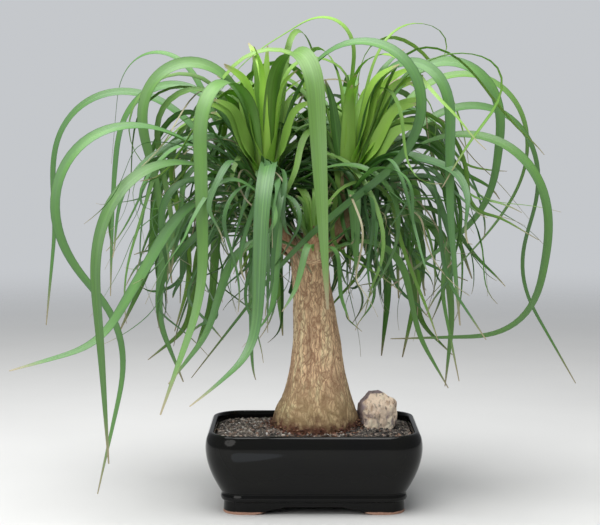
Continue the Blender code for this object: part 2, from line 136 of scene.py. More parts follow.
# How a leaf looks: tint picks its green, youth turns it yellow-green, dry turns it straw, twist turns its end.
Look = namedtuple("Look", "tint youth dry twist")
BASE_SHARE = 0.42
TIP_SHARE = 0.1
TIP_START = 0.6
TIP_TURN = 0.25
ROLL_END = 0.4
LEAVES = {
    # The left growing point.
    "left_leaf_1": Leaf("left", 190, 0, 78, 0.39, 0.28, -106, -98, 355, 14, -55),
    "left_leaf_2": Leaf("left", 236, 0, 76, 0.26, 0.18, -92, -58, 425, 15, -18),
    "left_leaf_3": Leaf("left", 278, -56, 38, 0.23, 0.23, -84, -26, 325, 16, 0),
    "left_leaf_4": Leaf("left", 168, 0, 62, 0.38, 0.26, -84, -88, 350, 11, -50),
    "left_leaf_5": Leaf("left", 202, 6, 34, 0.37, 0.28, -132, -76, 520, 11, -50),
    "left_leaf_6": Leaf("left", 222, 0, 22, 0.38, 0.30, -96, -94, 405, 12, -40),
    "left_leaf_7": Leaf("left", 214, -8, 10, 0.20, 0.20, -56, -12, 300, 13, -35),
    "left_leaf_8": Leaf("left", 302, 0, 84, 0.34, 0.18, -84, -84, 370, 20, 25),
    "left_leaf_9": Leaf("left", 338, 10, 26, 0.42, 0.30, -96, -120, 240, 8, 30),
    "left_leaf_10": Leaf("left", 331, 34, 73, 0.335, 0.26, -142, -128, 572, 12, 50),
    "left_leaf_11": Leaf("left", 290, -80, 18, 0.14, 0.14, -84, -40, 175, 11, 0),
    "left_leaf_12": Leaf("left", 121, 0, 56, 0.38, 0.28, -84, -86, 370, 12, -35),
    "left_leaf_13": Leaf("left", 150, 0, 88, 0.90, 0.30, 70, 70, 110, 13, 0),
    "left_leaf_14": Leaf("left", 60, 0, 94, 0.90, 0.30, 84, 80, 112, 14, 20),
    # The right growing point.
    "right_leaf_1": Leaf("right", 358, -6, 66, 0.37, 0.23, -96, -142, 415, 13, 55),
    "right_leaf_2": Leaf("right", 328, 6, 76, 0.34, 0.20, -90, -84, 380, 12, 50),
    "right_leaf_3": Leaf("right", 18, 0, 42, 0.39, 0.28, -112, -58, 462, 11, 50),
    "right_leaf_4": Leaf("right", 346, -6, 36, 0.34, 0.28, -100, -176, 450, 11, 50),
    "right_leaf_5": Leaf("right", 326, -4, 48, 0.26, 0.26, -84, -50, 250, 14, -20),
    "right_leaf_6": Leaf("right", 280, 0, 22, 0.20, 0.18, -84, -80, 95, 12, 0),
    "right_leaf_7": Leaf("right", 284, 0, 88, 0.80, 0.20, 20, 10, 100, 14, 0),
    "right_leaf_8": Leaf("right", 87, 0, 70, 0.36, 0.24, -86, -70, 320, 13, 0),
    "right_leaf_9": Leaf("right", 166, 0, 97, 0.42, 0.14, -30, -52, 325, 8, -20),
    "right_leaf_10": Leaf("right", 38, 0, 58, 0.34, 0.26, -84, -112, 320, 12, 40),
    "right_leaf_11": Leaf("right", 232, 0, 78, 0.90, 0.20, 60, 50, 90, 12, 10),
    "right_leaf_12": Leaf("right", 24, 0, 76, 0.80, 0.30, 40, 30, 130, 14, 40),
    # The two at the back.
    "back_left_leaf_1": Leaf("back_left", 177, 2, 54, 0.48, 0.32, -112, -84, 440, 11, -45),
    "back_left_leaf_2": Leaf("back_left", 162, 2, 64, 0.60, 0.22, -72, -84, 320, 8, -40),
    "back_left_leaf_3": Leaf("back_left", 143, 0, 46, 0.36, 0.26, -86, -58, 320, 13, 20),
    "back_left_leaf_4": Leaf("back_left", 104, 0, 72, 0.38, 0.24, -86, -110, 310, 14, 10),
    "back_left_leaf_5": Leaf("back_left", 82, 4, 48, 0.26, 0.22, -86, -50, 250, 13, 0),
    "back_left_leaf_6": Leaf("back_left", 120, 10, 30, 0.28, 0.24, -84, -60, 240, 12, 20),
    "back_left_leaf_7": Leaf("back_left", 206, -8, 24, 0.30, 0.26, -84, -112, 240, 11, -45),
    "back_left_leaf_8": Leaf("back_left", 152, 0, 14, 0.22, 0.22, -80, -36, 210, 11, 30),
    "back_left_leaf_9": Leaf("back_left", 66, 0, 66, 0.38, 0.22, -86, -90, 330, 12, -10),
    "back_right_leaf_1": Leaf("back_right", 6, -6, 68, 0.42, 0.30, -110, -132, 460, 10, 45),
    "back_right_leaf_2": Leaf("back_right", 40, 0, 64, 0.40, 0.26, -86, -64, 310, 13, -35),
    "back_right_leaf_3": Leaf("back_right", 56, 0, 46, 0.32, 0.26, -86, -114, 310, 13, -20),
    "back_right_leaf_4": Leaf("back_right", 70, 0, 72, 0.39, 0.26, -86, -84, 400, 14, -10),
    "back_right_leaf_5": Leaf("back_right", 108, -10, 44, 0.28, 0.24, -86, -70, 220, 13, 0),
    "back_right_leaf_6": Leaf("back_right", 62, 8, 26, 0.26, 0.24, -84, -110, 210, 12, -20),
    "back_right_leaf_7": Leaf("back_right", 336, 8, 22, 0.28, 0.26, -84, -96, 230, 11, 45),
    "back_right_leaf_8": Leaf("back_right", 34, 0, 12, 0.22, 0.22, -80, -40, 200, 11, -30),
    "back_right_leaf_9": Leaf("back_right", 148, 0, 72, 0.42, 0.22, -84, -108, 290, 12, 10),
    # The low one at the front.
    "front_leaf_1": Leaf("front", 196, 0, 26, 0.26, 0.24, -72, -50, 200, 11, -40),
    "front_leaf_2": Leaf("front", 262, -40, 34, 0.22, 0.22, -62, -46, 92, 7, -20),
    "front_leaf_3": Leaf("front", 312, 0, 30, 0.20, 0.20, -84, -60, 84, 9, -20),
    "front_leaf_4": Leaf("front", 358, 0, 22, 0.28, 0.24, -78, -60, 200, 11, 40),
}


class PotSettings(bpy.types.PropertyGroup):
    """Sizes and colours of the pot."""

    lip_rounding: FloatProperty(
        name="Edge rounding", description="Width of the rounding along the cut edges of the feet",
        default=0.5 * MM, min=0, unit="LENGTH",
    )
    glaze_colour: FloatVectorProperty(
        name="Glaze", description="Colour of the fired glaze", size=3, subtype="COLOR",
        default=(0.004, 0.004, 0.005), min=0, max=1,
    )
    clay_colour: FloatVectorProperty(
        name="Clay", description="Colour of the bare clay under the feet", size=3, subtype="COLOR",
        default=(0.50, 0.29, 0.21), min=0, max=1,
    )
    bare_height: FloatProperty(
        name="Bare clay height", description="How far up the feet the glaze was wiped off",
        default=2.2 * MM, min=0, unit="LENGTH",
    )


class SoilSettings(bpy.types.PropertyGroup):
    """Amount, size and colours of the grit."""

    grains: IntProperty(
        name="Grains", description="How many loose grains lie on the soil", default=3200, min=0,
    )
    smallest: FloatProperty(
        name="Smallest grain", description="Length of the smallest grain",
        default=1.5 * MM, min=0, unit="LENGTH",
    )
    largest: FloatProperty(
        name="Largest grain", description="Length of the largest grain",
        default=5.0 * MM, min=0, unit="LENGTH",
    )
    flakes: IntProperty(
        name="Bark flakes", description="How many red-brown flakes lie round the trunk", default=760, min=0,
    )
    dark_colour: FloatVectorProperty(
        name="Dark grain", description="Colour of the darkest grains", size=3, subtype="COLOR",
        default=(0.035, 0.030, 0.028), min=0, max=1,
    )
    pale_colour: FloatVectorProperty(
        name="Pale grain", description="Colour of the palest grains", size=3, subtype="COLOR",
        default=(0.46, 0.40, 0.35), min=0, max=1,
    )


class TrunkSettings(bpy.types.PropertyGroup):
    """Relief and colours of the bark."""

    mesh_size: FloatProperty(
        name="Mesh size", description="Distance between the points of the bark's mesh",
        default=0.85 * MM, min=0.5 * MM, unit="LENGTH",
    )
    crack_depth: FloatProperty(
        name="Crack depth", description="How deep the cracks between the bark's plates are",
        default=0.8 * MM, min=0, unit="LENGTH",
    )
    plate_width: FloatProperty(
        name="Plate width", description="Usual width of a plate of bark", default=4.0 * MM,
        min=1 * MM, unit="LENGTH",
    )
    plate_colour: FloatVectorProperty(
        name="Plate", description="Colour of the bark's plates", size=3, subtype="COLOR",
        default=(0.83, 0.59, 0.36), min=0, max=1,
    )
    crack_colour: FloatVectorProperty(
        name="Crack", description="Colour inside the cracks", size=3, subtype="COLOR",
        default=(0.215, 0.095, 0.052), min=0, max=1,
    )


class StoneSettings(bpy.types.PropertyGroup):
    """Relief and colours of the stone."""

    roughening: FloatProperty(
        name="Roughening", description="Height of the bumps on the stone", default=1.1 * MM, min=0,
        unit="LENGTH",
    )
    stone_colour: FloatVectorProperty(
        name="Stone", description="Main colour of the stone", size=3, subtype="COLOR",
        default=(0.92, 0.74, 0.57), min=0, max=1,
    )
    vein_colour: FloatVectorProperty(
        name="Vein", description="Colour of the veins through the stone", size=3, subtype="COLOR",
        default=(0.20, 0.15, 0.17), min=0, max=1,
    )


class LeafSettings(bpy.types.PropertyGroup):
    """Shape and colours of the leaves."""

    thickness: FloatProperty(
        name="Thickness", description="Thickness of a blade along its middle", default=0.55 * MM,
        min=0.1 * MM, unit="LENGTH",
    )
    fine_leaves: IntProperty(
        name="Fine leaves", description="How many narrow leaves fill the crown", default=330, min=0,
    )
    dry_sheaths: IntProperty(
        name="Dry sheaths", description="How many strips of old leaf bases peel off the trunk's top",
        default=90, min=0,
    )
    leaf_colour: FloatVectorProperty(
        name="Leaf", description="Colour of a grown leaf", size=3, subtype="COLOR",
        default=(0.062, 0.170, 0.034), min=0, max=1,
    )
    young_colour: FloatVectorProperty(
        name="Young leaf", description="Colour of the young leaves in a growing point", size=3,
        subtype="COLOR", default=(0.40, 0.64, 0.10), min=0, max=1,
    )
    dry_colour: FloatVectorProperty(
        name="Dry leaf", description="Colour of dry tips and strands", size=3, subtype="COLOR",
        default=(0.42, 0.36, 0.24), min=0, max=1,
    )


class StageSettings(bpy.types.PropertyGroup):
    """Floor, lights and camera."""

    floor_colour: FloatVectorProperty(
        name="Floor", description="Colour of the studio floor", size=3, subtype="COLOR",
        default=(0.60, 0.60, 0.59), min=0, max=1,
    )
    top_light: FloatProperty(
        name="Top light", description="Power of the large light above", default=42, min=0, unit="POWER",
    )
    front_light: FloatProperty(
        name="Front light", description="Power of the light in front", default=13, min=0, unit="POWER",
    )
    focal_length: FloatProperty(
        name="Focal length", description="Focal length of the camera, in millimetres", default=103.3,
        min=10, subtype="DISTANCE_CAMERA",
    )


# ---------------------------------------------------------------- materials

def new_material(name):
    """(material, its node tree, its Principled shader)."""
    material = bpy.data.materials.new(name)
    material.use_nodes = True
    tree = material.node_tree
    return material, tree, tree.nodes["Principled BSDF"]


def add_node(tree, kind, links=None, **settings):
    """A node with its settings, and its inputs set to a value or joined to another node's output."""
    node = tree.nodes.new("ShaderNode" + kind)
    for key, value in settings.items():
        setattr(node, key, value)
    for key, value in (links or {}).items():
        if isinstance(value, bpy.types.NodeSocket):
            tree.links.new(value, node.inputs[key])
        else:
            node.inputs[key].default_value = value
    return node


def add_ramp(tree, factor, stops, interpolation="LINEAR"):
    """A colour ramp. A stop is (place, colour), where a number stands for a grey."""
    node = add_node(tree, "ValToRGB", {"Fac": factor})
    ramp = node.color_ramp
    ramp.interpolation = interpolation
    while len(ramp.elements) < len(stops):
        ramp.elements.new(0.5)
    for element, (place, colour) in zip(ramp.elements, stops):
        element.position = place
        element.color = (*colour, 1) if isinstance(colour, tuple) else (colour, colour, colour, 1)
    return node.outputs["Color"]


def add_mix(tree, factor, first, second, blend="MIX"):
    """A mix of two colours, each a colour or another node's output."""
    node = add_node(tree, "Mix", data_type="RGBA", blend_type=blend)
    for socket, value in ((node.inputs[0], factor), (node.inputs[6], first), (node.inputs[7], second)):
        if isinstance(value, bpy.types.NodeSocket):
            tree.links.new(value, socket)
        elif isinstance(value, (int, float)):
            socket.default_value = value
        else:
            socket.default_value = (*value, 1)
    return node.outputs[2]


def add_math(tree, operation, first, second=0.0, clamp=False):
    links = {0: first, 1: second}
    return add_node(tree, "Math", links, operation=operation, use_clamp=clamp).outputs[0]


def add_noise(tree, vector, scale, detail=3.0, roughness=0.5, stretch=None):
    """A noise pattern in the object's own metres, stretched along X, Y and Z if asked."""
    if stretch:
        vector = add_node(tree, "Mapping", {"Vector": vector, "Scale": stretch}).outputs[0]
    links = {"Vector": vector, "Scale": scale, "Detail": detail, "Roughness": roughness}
    return add_node(tree, "TexNoise", links).outputs["Fac"]


def add_bump(tree, height, distance, strength=1.0, normal=None):
    links = {"Height": height, "Distance": distance, "Strength": strength}
    if normal:
        links["Normal"] = normal
    return add_node(tree, "Bump", links).outputs["Normal"]


def add_warp(tree, vector, scale, amount):
    """A vector pushed about by a noise, so that what is drawn with it wanders."""
    bent = add_node(tree, "TexNoise", {"Vector": vector, "Scale": scale, "Detail": 3})
    warped = add_node(tree, "Mix", {0: amount}, data_type="VECTOR")
    tree.links.new(vector, warped.inputs[4])
    tree.links.new(bent.outputs["Color"], warped.inputs[5])
    return warped.outputs[1]


def add_furrows(tree, vector, scale, upright, stops):
    """A net of lines between cells. The smaller upright is, the taller the cells are."""
    tall = add_node(tree, "Mapping", {"Vector": vector, "Scale": (1, 1, upright)}).outputs[0]
    cells = add_node(tree, "TexVoronoi", {"Vector": tall, "Scale": scale}, feature="DISTANCE_TO_EDGE")
    return add_ramp(tree, cells.outputs["Distance"], stops)


def places(tree):
    """The socket that gives a point's place in the object."""
    return add_node(tree, "TexCoord").outputs["Object"]


def attribute(tree, name, output="Fac"):
    return add_node(tree, "Attribute", attribute_name=name).outputs[output]


def glaze_material(settings):
    """Black gloss glaze with a faint ripple, and bare clay where the feet stand."""
    material, tree, shader = new_material("black_glaze")
    place = places(tree)
    parts = add_node(tree, "SeparateXYZ", {"Vector": place})
    ragged = add_noise(tree, place, 160, 3)
    height = add_math(tree, "ADD", parts.outputs["Z"], add_math(tree, "MULTIPLY", ragged, -1.6 * MM))
    bare = add_node(
        tree, "MapRange", {"Value": height, "From Min": settings.bare_height - 0.8 * MM,
                           "From Max": settings.bare_height - 0.4 * MM, "To Min": 1.0, "To Max": 0.0},
    ).outputs[0]
    speck = add_ramp(tree, add_noise(tree, place, 900, 2), ((0.35, 0.72), (0.7, 1.0)))
    clay = add_mix(tree, 1.0, tuple(settings.clay_colour), speck, "MULTIPLY")
    cloud = add_noise(tree, place, 24, 3)
    warm = tuple(1.6 * c for c in settings.glaze_colour[:2]) + (settings.glaze_colour[2],)
    glaze = add_mix(tree, cloud, tuple(settings.glaze_colour), warm)
    tree.links.new(add_mix(tree, bare, glaze, clay), shader.inputs["Base Color"])
    gloss = add_ramp(tree, add_noise(tree, place, 60, 4), ((0.3, 0.06), (0.75, 0.13)))
    tree.links.new(add_mix(tree, bare, gloss, (0.85, 0.85, 0.85)), shader.inputs["Roughness"])
    ripple = add_bump(tree, add_noise(tree, place, 55, 2), 0.00025, 0.35)
    tree.links.new(add_bump(tree, add_noise(tree, place, 420, 2), 0.00004, 0.35, ripple), shader.inputs["Normal"])
    shader.inputs["Specular IOR Level"].default_value = 0.17
    return material


def screen_material():
    """Black moulded plastic with a little dust."""
    material, tree, shader = new_material("black_screen")
    place = places(tree)
    dust = add_ramp(tree, add_noise(tree, place, 500, 4), ((0.45, 0.012), (0.75, 0.07)))
    tree.links.new(dust, shader.inputs["Base Color"])
    tree.links.new(add_bump(tree, add_noise(tree, place, 1500, 2), 0.00005), shader.inputs["Normal"])
    shader.inputs["Roughness"].default_value = 0.55
    return material


def soil_material(settings):
    """The fine dark dust under the grains."""
    material, tree, shader = new_material("soil_dust")
    place = places(tree)
    grain = add_noise(tree, place, 900, 5, 0.7)
    dark = tuple(settings.dark_colour)
    mid = tuple(0.6 * d + 0.22 * p for d, p in zip(settings.dark_colour, settings.pale_colour))
    tree.links.new(add_ramp(tree, grain, ((0.35, dark), (0.62, mid))), shader.inputs["Base Color"])
    tree.links.new(add_bump(tree, grain, 0.0008), shader.inputs["Normal"])
    shader.inputs["Roughness"].default_value = 0.95
    return material


def grain_material(settings):
    """Grit of many kinds: each grain's own tint picks a colour, and fine specks break it up."""
    material, tree, shader = new_material("grit_grains")
    place = places(tree)
    tint = attribute(tree, "tint")
    dark, pale = tuple(settings.dark_colour), tuple(settings.pale_colour)
    between = tuple(0.62 * d + 0.25 * p for d, p in zip(dark, pale))
    stops = (
        (0.0, dark), (0.22, between), (0.42, (0.20, 0.175, 0.15)), (0.62, (0.30, 0.255, 0.21)),
        (0.74, (0.25, 0.145, 0.10)), (0.84, pale), (1.0, (0.66, 0.63, 0.59)),
    )
    kind = add_ramp(tree, tint, stops)
    speck = add_ramp(tree, add_noise(tree, place, 1400, 4, 0.6), ((0.3, 0.5), (0.68, 1.15)))
    tree.links.new(add_mix(tree, 1.0, kind, speck, "MULTIPLY"), shader.inputs["Base Color"])
    tree.links.new(add_bump(tree, add_noise(tree, place, 2200, 3), 0.00012), shader.inputs["Normal"])
    shader.inputs["Roughness"].default_value = 0.82
    return material


def flake_material():
    """Shed bark and dry leaf bases: red-brown, some nearly black."""
    material, tree, shader = new_material("bark_flakes")
    place = places(tree)
    stops = ((0.0, (0.035, 0.014, 0.010)), (0.45, (0.14, 0.05, 0.032)), (0.8, (0.27, 0.12, 0.07)), (1.0, (0.42, 0.27, 0.16)))
    kind = add_ramp(tree, attribute(tree, "tint"), stops)
    speck = add_ramp(tree, add_noise(tree, place, 1200, 4, 0.6), ((0.3, 0.55), (0.7, 1.1)))
    tree.links.new(add_mix(tree, 1.0, kind, speck, "MULTIPLY"), shader.inputs["Base Color"])
    tree.links.new(add_bump(tree, add_noise(tree, place, 1800, 3), 0.0001), shader.inputs["Normal"])
    shader.inputs["Roughness"].default_value = 0.8
    return material


def bark_material(settings):
    """Tan bark: pale wavy ridges between red-brown furrows, greener low down and dark red at the soil."""
    material, tree, shader = new_material("tan_bark")
    place = places(tree)
    height = add_node(tree, "SeparateXYZ", {"Vector": place}).outputs["Z"]
    plate = tuple(settings.plate_colour)
    wavy = add_warp(tree, place, 75, 0.012)
    furrows = add_furrows(tree, wavy, 290, 0.12, ((0.0, 1.0), (0.09, 0.6), (0.20, 0.0)))
    hairlines = add_furrows(tree, wavy, 640, 0.18, ((0.0, 0.8), (0.07, 0.3), (0.15, 0.0)))
    streak = add_noise(tree, place, 110, 5, 0.6, stretch=(1, 1, 0.14))
    fleck = add_noise(tree, place, 480, 5, 0.65, stretch=(1, 1, 0.4))
    shade = add_ramp(tree, streak, (
        (0.3, tuple(0.60 * c for c in plate)), (0.5, plate), (0.64, tuple(min(0.92, 1.34 * c) for c in plate)),
    ))
    body = add_mix(tree, 1.0, shade, add_ramp(tree, fleck, ((0.32, 0.66), (0.5, 1.0), (0.7, 1.12))), "MULTIPLY")
    pink = add_ramp(tree, add_noise(tree, place, 40, 4, 0.6, stretch=(1, 1, 0.3)), ((0.48, 0.0), (0.64, 0.32)))
    body = add_mix(tree, pink, body, (0.50, 0.29, 0.185))
    depth = add_math(tree, "MAXIMUM", add_math(tree, "MULTIPLY", furrows, 0.85), attribute(tree, "crack"))
    depth = add_math(tree, "MAXIMUM", depth, add_math(tree, "MULTIPLY", hairlines, 0.55))
    body = add_mix(tree, add_ramp(tree, depth, ((0.12, 0.0), (0.9, 0.88))), body, tuple(settings.crack_colour))

    wander = add_math(tree, "MULTIPLY", add_noise(tree, place, 130, 5, 0.65), 0.05)
    level = add_math(tree, "SUBTRACT", height, wander)
    bands = (
        (level, 0.058, 0.100, 0.58, 0.0, (0.29, 0.235, 0.110)),
        (level, 0.047, 0.061, 0.90, 0.0, (0.105, 0.036, 0.024)),
        (height, 0.220, 0.246, 0.0, 0.72, (0.21, 0.105, 0.052)),
        (height, 0.250, 0.275, 0.0, 0.85, (0.125, 0.120, 0.050)),
    )
    for measure, low, high, first, last, colour in bands:
        links = {"Value": measure, "From Min": low, "From Max": high, "To Min": first, "To Max": last}
        body = add_mix(tree, add_node(tree, "MapRange", links).outputs[0], body, colour)
    tree.links.new(body, shader.inputs["Base Color"])
    shader.inputs["Roughness"].default_value = 0.85
    shader.inputs["Specular IOR Level"].default_value = 0.25
    relief = add_bump(tree, depth, 0.0013, -0.9)
    fine = add_bump(tree, fleck, 0.0006, 0.7, relief)
    tree.links.new(add_bump(tree, add_noise(tree, place, 1300, 3), 0.00015, 0.6, fine), shader.inputs["Normal"])
    return material


def stone_material(settings):
    """Cream stone with upright grooves and rusty pits, and a grey-purple crust on its weathered faces."""
    material, tree, shader = new_material("cream_stone")
    place = places(tree)
    main = tuple(settings.stone_colour)
    cloud = add_noise(tree, place, 80, 5, 0.6)
    body = add_ramp(tree, cloud, (
        (0.3, tuple(0.80 * c for c in main)), (0.5, main), (0.66, tuple(min(1, 1.2 * c) for c in main)),
    ))
    rust = add_ramp(tree, add_noise(tree, place, 150, 4, 0.6, stretch=(1, 1, 0.5)), ((0.55, 0.0), (0.66, 0.7)))
    body = add_mix(tree, rust, body, (0.40, 0.235, 0.135))
    veins = add_furrows(tree, add_warp(tree, place, 60, 0.02), 95, 0.55, ((0.0, 0.9), (0.06, 0.5), (0.14, 0.0)))
    patchy = add_ramp(tree, add_noise(tree, place, 48, 3), ((0.44, 0.0), (0.58, 1.0)))
    vein = add_math(tree, "MULTIPLY", veins, patchy)
    body = add_mix(tree, vein, body, tuple(settings.vein_colour))
    crust = add_mix(tree, add_noise(tree, place, 260, 4), (0.17, 0.125, 0.150), (0.36, 0.29, 0.31))
    body = add_mix(tree, add_ramp(tree, attribute(tree, "crust"), ((0.35, 0.0), (0.75, 0.9))), body, crust)
    pits = add_ramp(tree, add_noise(tree, place, 430, 4, 0.6, stretch=(1, 1, 0.4)), ((0.34, 0.35), (0.46, 1.0)))
    tree.links.new(add_mix(tree, 1.0, body, pits, "MULTIPLY"), shader.inputs["Base Color"])
    grain = add_bump(tree, add_noise(tree, place, 500, 5, 0.65), 0.0006, 0.8)
    tree.links.new(add_bump(tree, vein, 0.0005, -0.7, grain), shader.inputs["Normal"])
    shader.inputs["Roughness"].default_value = 0.75
    return material


def leaf_material(settings):
    """A smooth green blade with fine lengthwise ribs, lit through a little, straw-coloured where it is dry.

    blade holds (side to side from -1 to 1, share of the length, metres from the base), and growth
    holds (tint, youth, dryness). upper is 1 on the upper face.
    """
    material, tree, shader = new_material("ribbed_leaf")
    blade = add_node(tree, "SeparateXYZ", {"Vector": attribute(tree, "blade", "Vector")}).outputs
    growth = add_node(tree, "SeparateXYZ", {"Vector": attribute(tree, "growth", "Vector")}).outputs
    across, share, run = blade[0], blade[1], blade[2]
    tint, youth, dry = growth[0], growth[1], growth[2]

    lines = add_node(tree, "CombineXYZ", {
        "X": add_math(tree, "MULTIPLY", across, 9.5), "Y": add_math(tree, "MULTIPLY", run, 7),
        "Z": add_math(tree, "MULTIPLY", tint, 37),
    }).outputs[0]
    ribs = add_noise(tree, lines, 1.0, 3, 0.7)
    clouds = add_noise(tree, add_node(tree, "CombineXYZ", {
        "X": across, "Y": add_math(tree, "MULTIPLY", run, 28), "Z": add_math(tree, "MULTIPLY", tint, 91),
    }).outputs[0], 1.0, 2)

    green = tuple(settings.leaf_colour)
    deep = tuple(0.52 * c for c in green)
    fresh = tuple(1.5 * a + 0.12 * b for a, b in zip(green, settings.young_colour))
    body = add_ramp(tree, tint, ((0.0, deep), (0.5, green), (1.0, fresh)))
    body = add_mix(tree, add_ramp(tree, ribs, ((0.36, 0.0), (0.66, 0.75))), body, fresh)
    body = add_mix(tree, add_ramp(tree, clouds, ((0.35, 0.35), (0.7, 0.0))), body, deep)
    middle = add_math(tree, "ABSOLUTE", across)
    body = add_mix(tree, add_ramp(tree, middle, ((0.0, 0.35), (0.16, 0.0))), body, fresh)
    body = add_mix(tree, add_ramp(tree, middle, ((0.80, 0.0), (0.97, 0.75))), body, deep)
    # The upper face is painted a paler mint: partly the blade's waxy bloom, partly a painted sheen that stands for the
    # sky's reflection.
    bloom_and_painted_sheen = add_math(tree, "MULTIPLY", attribute(tree, "upper"), add_ramp(tree, clouds, ((0.3, 0.34), (0.65, 0.16))))
    body = add_mix(tree, bloom_and_painted_sheen, body, (0.20, 0.37, 0.22))
    body = add_mix(tree, youth, body, tuple(settings.young_colour))
    pale_base = add_ramp(tree, share, ((0.0, 0.75), (0.07, 0.0)))
    body = add_mix(tree, pale_base, body, (0.36, 0.44, 0.14))
    spread = add_math(tree, "ADD", share, add_math(tree, "MULTIPLY", add_math(tree, "SUBTRACT", ribs, 0.5), 0.22))
    tip = add_ramp(tree, spread, ((0.90, 0.0), (0.985, 1.0)))
    straw = add_math(tree, "MAXIMUM", dry, tip, clamp=True)
    dry_body = add_mix(tree, ribs, tuple(0.55 * c for c in settings.dry_colour), tuple(1.25 * c for c in settings.dry_colour))
    body = add_mix(tree, straw, body, dry_body)
    tree.links.new(body, shader.inputs["Base Color"])
    tree.links.new(add_ramp(tree, ribs, ((0.3, 0.50), (0.7, 0.36))), shader.inputs["Roughness"])
    shader.inputs["Specular IOR Level"].default_value = 0.48
    ridge = add_bump(tree, ribs, 0.00016, 0.8)
    tree.links.new(ridge, shader.inputs["Normal"])

    glow = add_mix(tree, 1.0, body, (1.5, 1.6, 0.9), "MULTIPLY")
    through = add_node(tree, "BsdfTranslucent", {"Color": glow, "Normal": ridge})
    both = add_node(tree, "MixShader", {0: 0.3, 1: shader.outputs[0], 2: through.outputs[0]})
    tree.links.new(both.outputs[0], tree.nodes["Material Output"].inputs["Surface"])
    return material


def floor_material(settings):
    """Pale matt floor that fades into the backdrop far out."""
    material, tree, shader = new_material("studio_floor")
    place = places(tree)
    tone = add_ramp(tree, add_noise(tree, place, 6, 3), ((0.3, 0.97), (0.7, 1.0)))
    tree.links.new(add_mix(tree, 1.0, tuple(settings.floor_colour), tone, "MULTIPLY"), shader.inputs["Base Color"])
    tree.links.new(add_bump(tree, add_noise(tree, place, 700, 2), 0.0001, 0.3), shader.inputs["Normal"])
    shader.inputs["Roughness"].default_value = 0.6
    far = add_node(tree, "VectorMath", {0: place}, operation="LENGTH").outputs["Value"]
    fade = add_node(
        tree, "MapRange", {"Value": far, "From Min": 0.8, "From Max": 2.8}, interpolation_type="SMOOTHERSTEP",
    )
    clear = add_node(tree, "BsdfTransparent")
    both = add_node(tree, "MixShader", {0: fade.outputs[0], 1: shader.outputs[0], 2: clear.outputs[0]})
    tree.links.new(both.outputs[0], tree.nodes["Material Output"].inputs["Surface"])
    return material


# ---------------------------------------------------------------- meshes

def mesh_object(name, bm, materials, sharp=math.radians(40)):
    """An object from a bmesh, shaded smooth up to the sharp angle."""
    mesh = bpy.data.meshes.new(name)
    bm.to_mesh(mesh)
    bm.free()
    return finished_object(name, mesh, materials, sharp)


def finished_object(name, mesh, materials, sharp=math.radians(40)):
    mesh.shade_smooth()
    mesh.set_sharp_from_angle(angle=sharp)
    obj = bpy.data.objects.new(name, mesh)
    bpy.context.scene.collection.objects.link(obj)
    for material in materials:
        mesh.materials.append(material)
    return obj


def place_piece(obj, slot, *nodes):
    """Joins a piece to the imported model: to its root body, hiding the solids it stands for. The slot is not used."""
    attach(obj, "root")
    if nodes:
        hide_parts(*nodes)


def applied(obj):
    """Replaces an object's mesh by what its modifiers make of it, and returns the new mesh."""
    graph = bpy.context.evaluated_depsgraph_get()
    mesh = bpy.data.meshes.new_from_object(obj.evaluated_get(graph))
    obj.modifiers.clear()
    old = obj.data
    obj.data = mesh
    bpy.data.meshes.remove(old)
    return mesh


def loft(bm, rings):
    """A closed solid through rings of equal point counts, with a flat face at each end."""
    loops = [[bm.verts.new(point) for point in ring] for ring in rings]
    for lower, upper in zip(loops, loops[1:]):
        for i in range(len(lower)):
            j = (i + 1) % len(lower)
            bm.faces.new((lower[i], lower[j], upper[j], upper[i]))
    bm.faces.new(loops[0][::-1])
    bm.faces.new(loops[-1])
    return loops


def smooth_rows(rows, steps):
    """More rows between the given ones, on a curve through them all."""
    last = len(rows) - 1
    result = []
    for i in range(last):
        before, here, there, after = (Vector(rows[min(max(i + k, 0), last)]) for k in (-1, 0, 1, 2))
        for step in range(steps):
            t = step / steps
            curve = (
                2 * here + (there - before) * t + (2 * before - 5 * here + 4 * there - after) * t**2
                + (3 * here - before - 3 * there + after) * t**3
            )
            result.append(tuple(curve / 2))
    result.append(tuple(rows[last]))
    return result


def rounded_ring(half_x, half_y, radius, height, steps):
    """The points of a rectangle with round corners."""
    points = []
    for quarter, (sx, sy) in enumerate(((1, 1), (-1, 1), (-1, -1), (1, -1))):
        for step in range(steps + 1):
            angle = math.radians(90 * (quarter + step / steps))
            x = sx * (half_x - radius) + radius * math.cos(angle)
            y = sy * (half_y - radius) + radius * math.sin(angle)
            points.append(Vector((x, y, height)))
    return points


def pot_ring(height, inset, steps=14):
    """The pot's outline where its wall stands in by inset."""
    radius = max(POT_CORNER - 0.7 * inset, 6 * MM)
    return rounded_ring(POT_HALF_LENGTH - inset, POT_HALF_DEPTH - inset, radius, height, steps)


def inside_inset(height):
    """How far in the pot's inner wall stands at a height."""
    rows = [(h * MM, i * MM) for h, i in POT_INSIDE]
    for (high, near), (low, far) in zip(rows, rows[1:]):
        if height >= low:
            return far + (near - far) * (height - low) / (high - low)
    return rows[-1][1]


def cut(obj, bm):
    """Cuts a shape out of an object."""
    bmesh.ops.recalc_face_normals(bm, faces=bm.faces)
    mesh = bpy.data.meshes.new("cutter")
    bm.to_mesh(mesh)
    bm.free()
    cutter = bpy.data.objects.new("cutter", mesh)
    bpy.context.scene.collection.objects.link(cutter)
    modifier = obj.modifiers.new("cut", "BOOLEAN")
    modifier.object = cutter
    applied(obj)
    bpy.data.objects.remove(cutter)
    bpy.data.meshes.remove(mesh)


# ---------------------------------------------------------------- pot

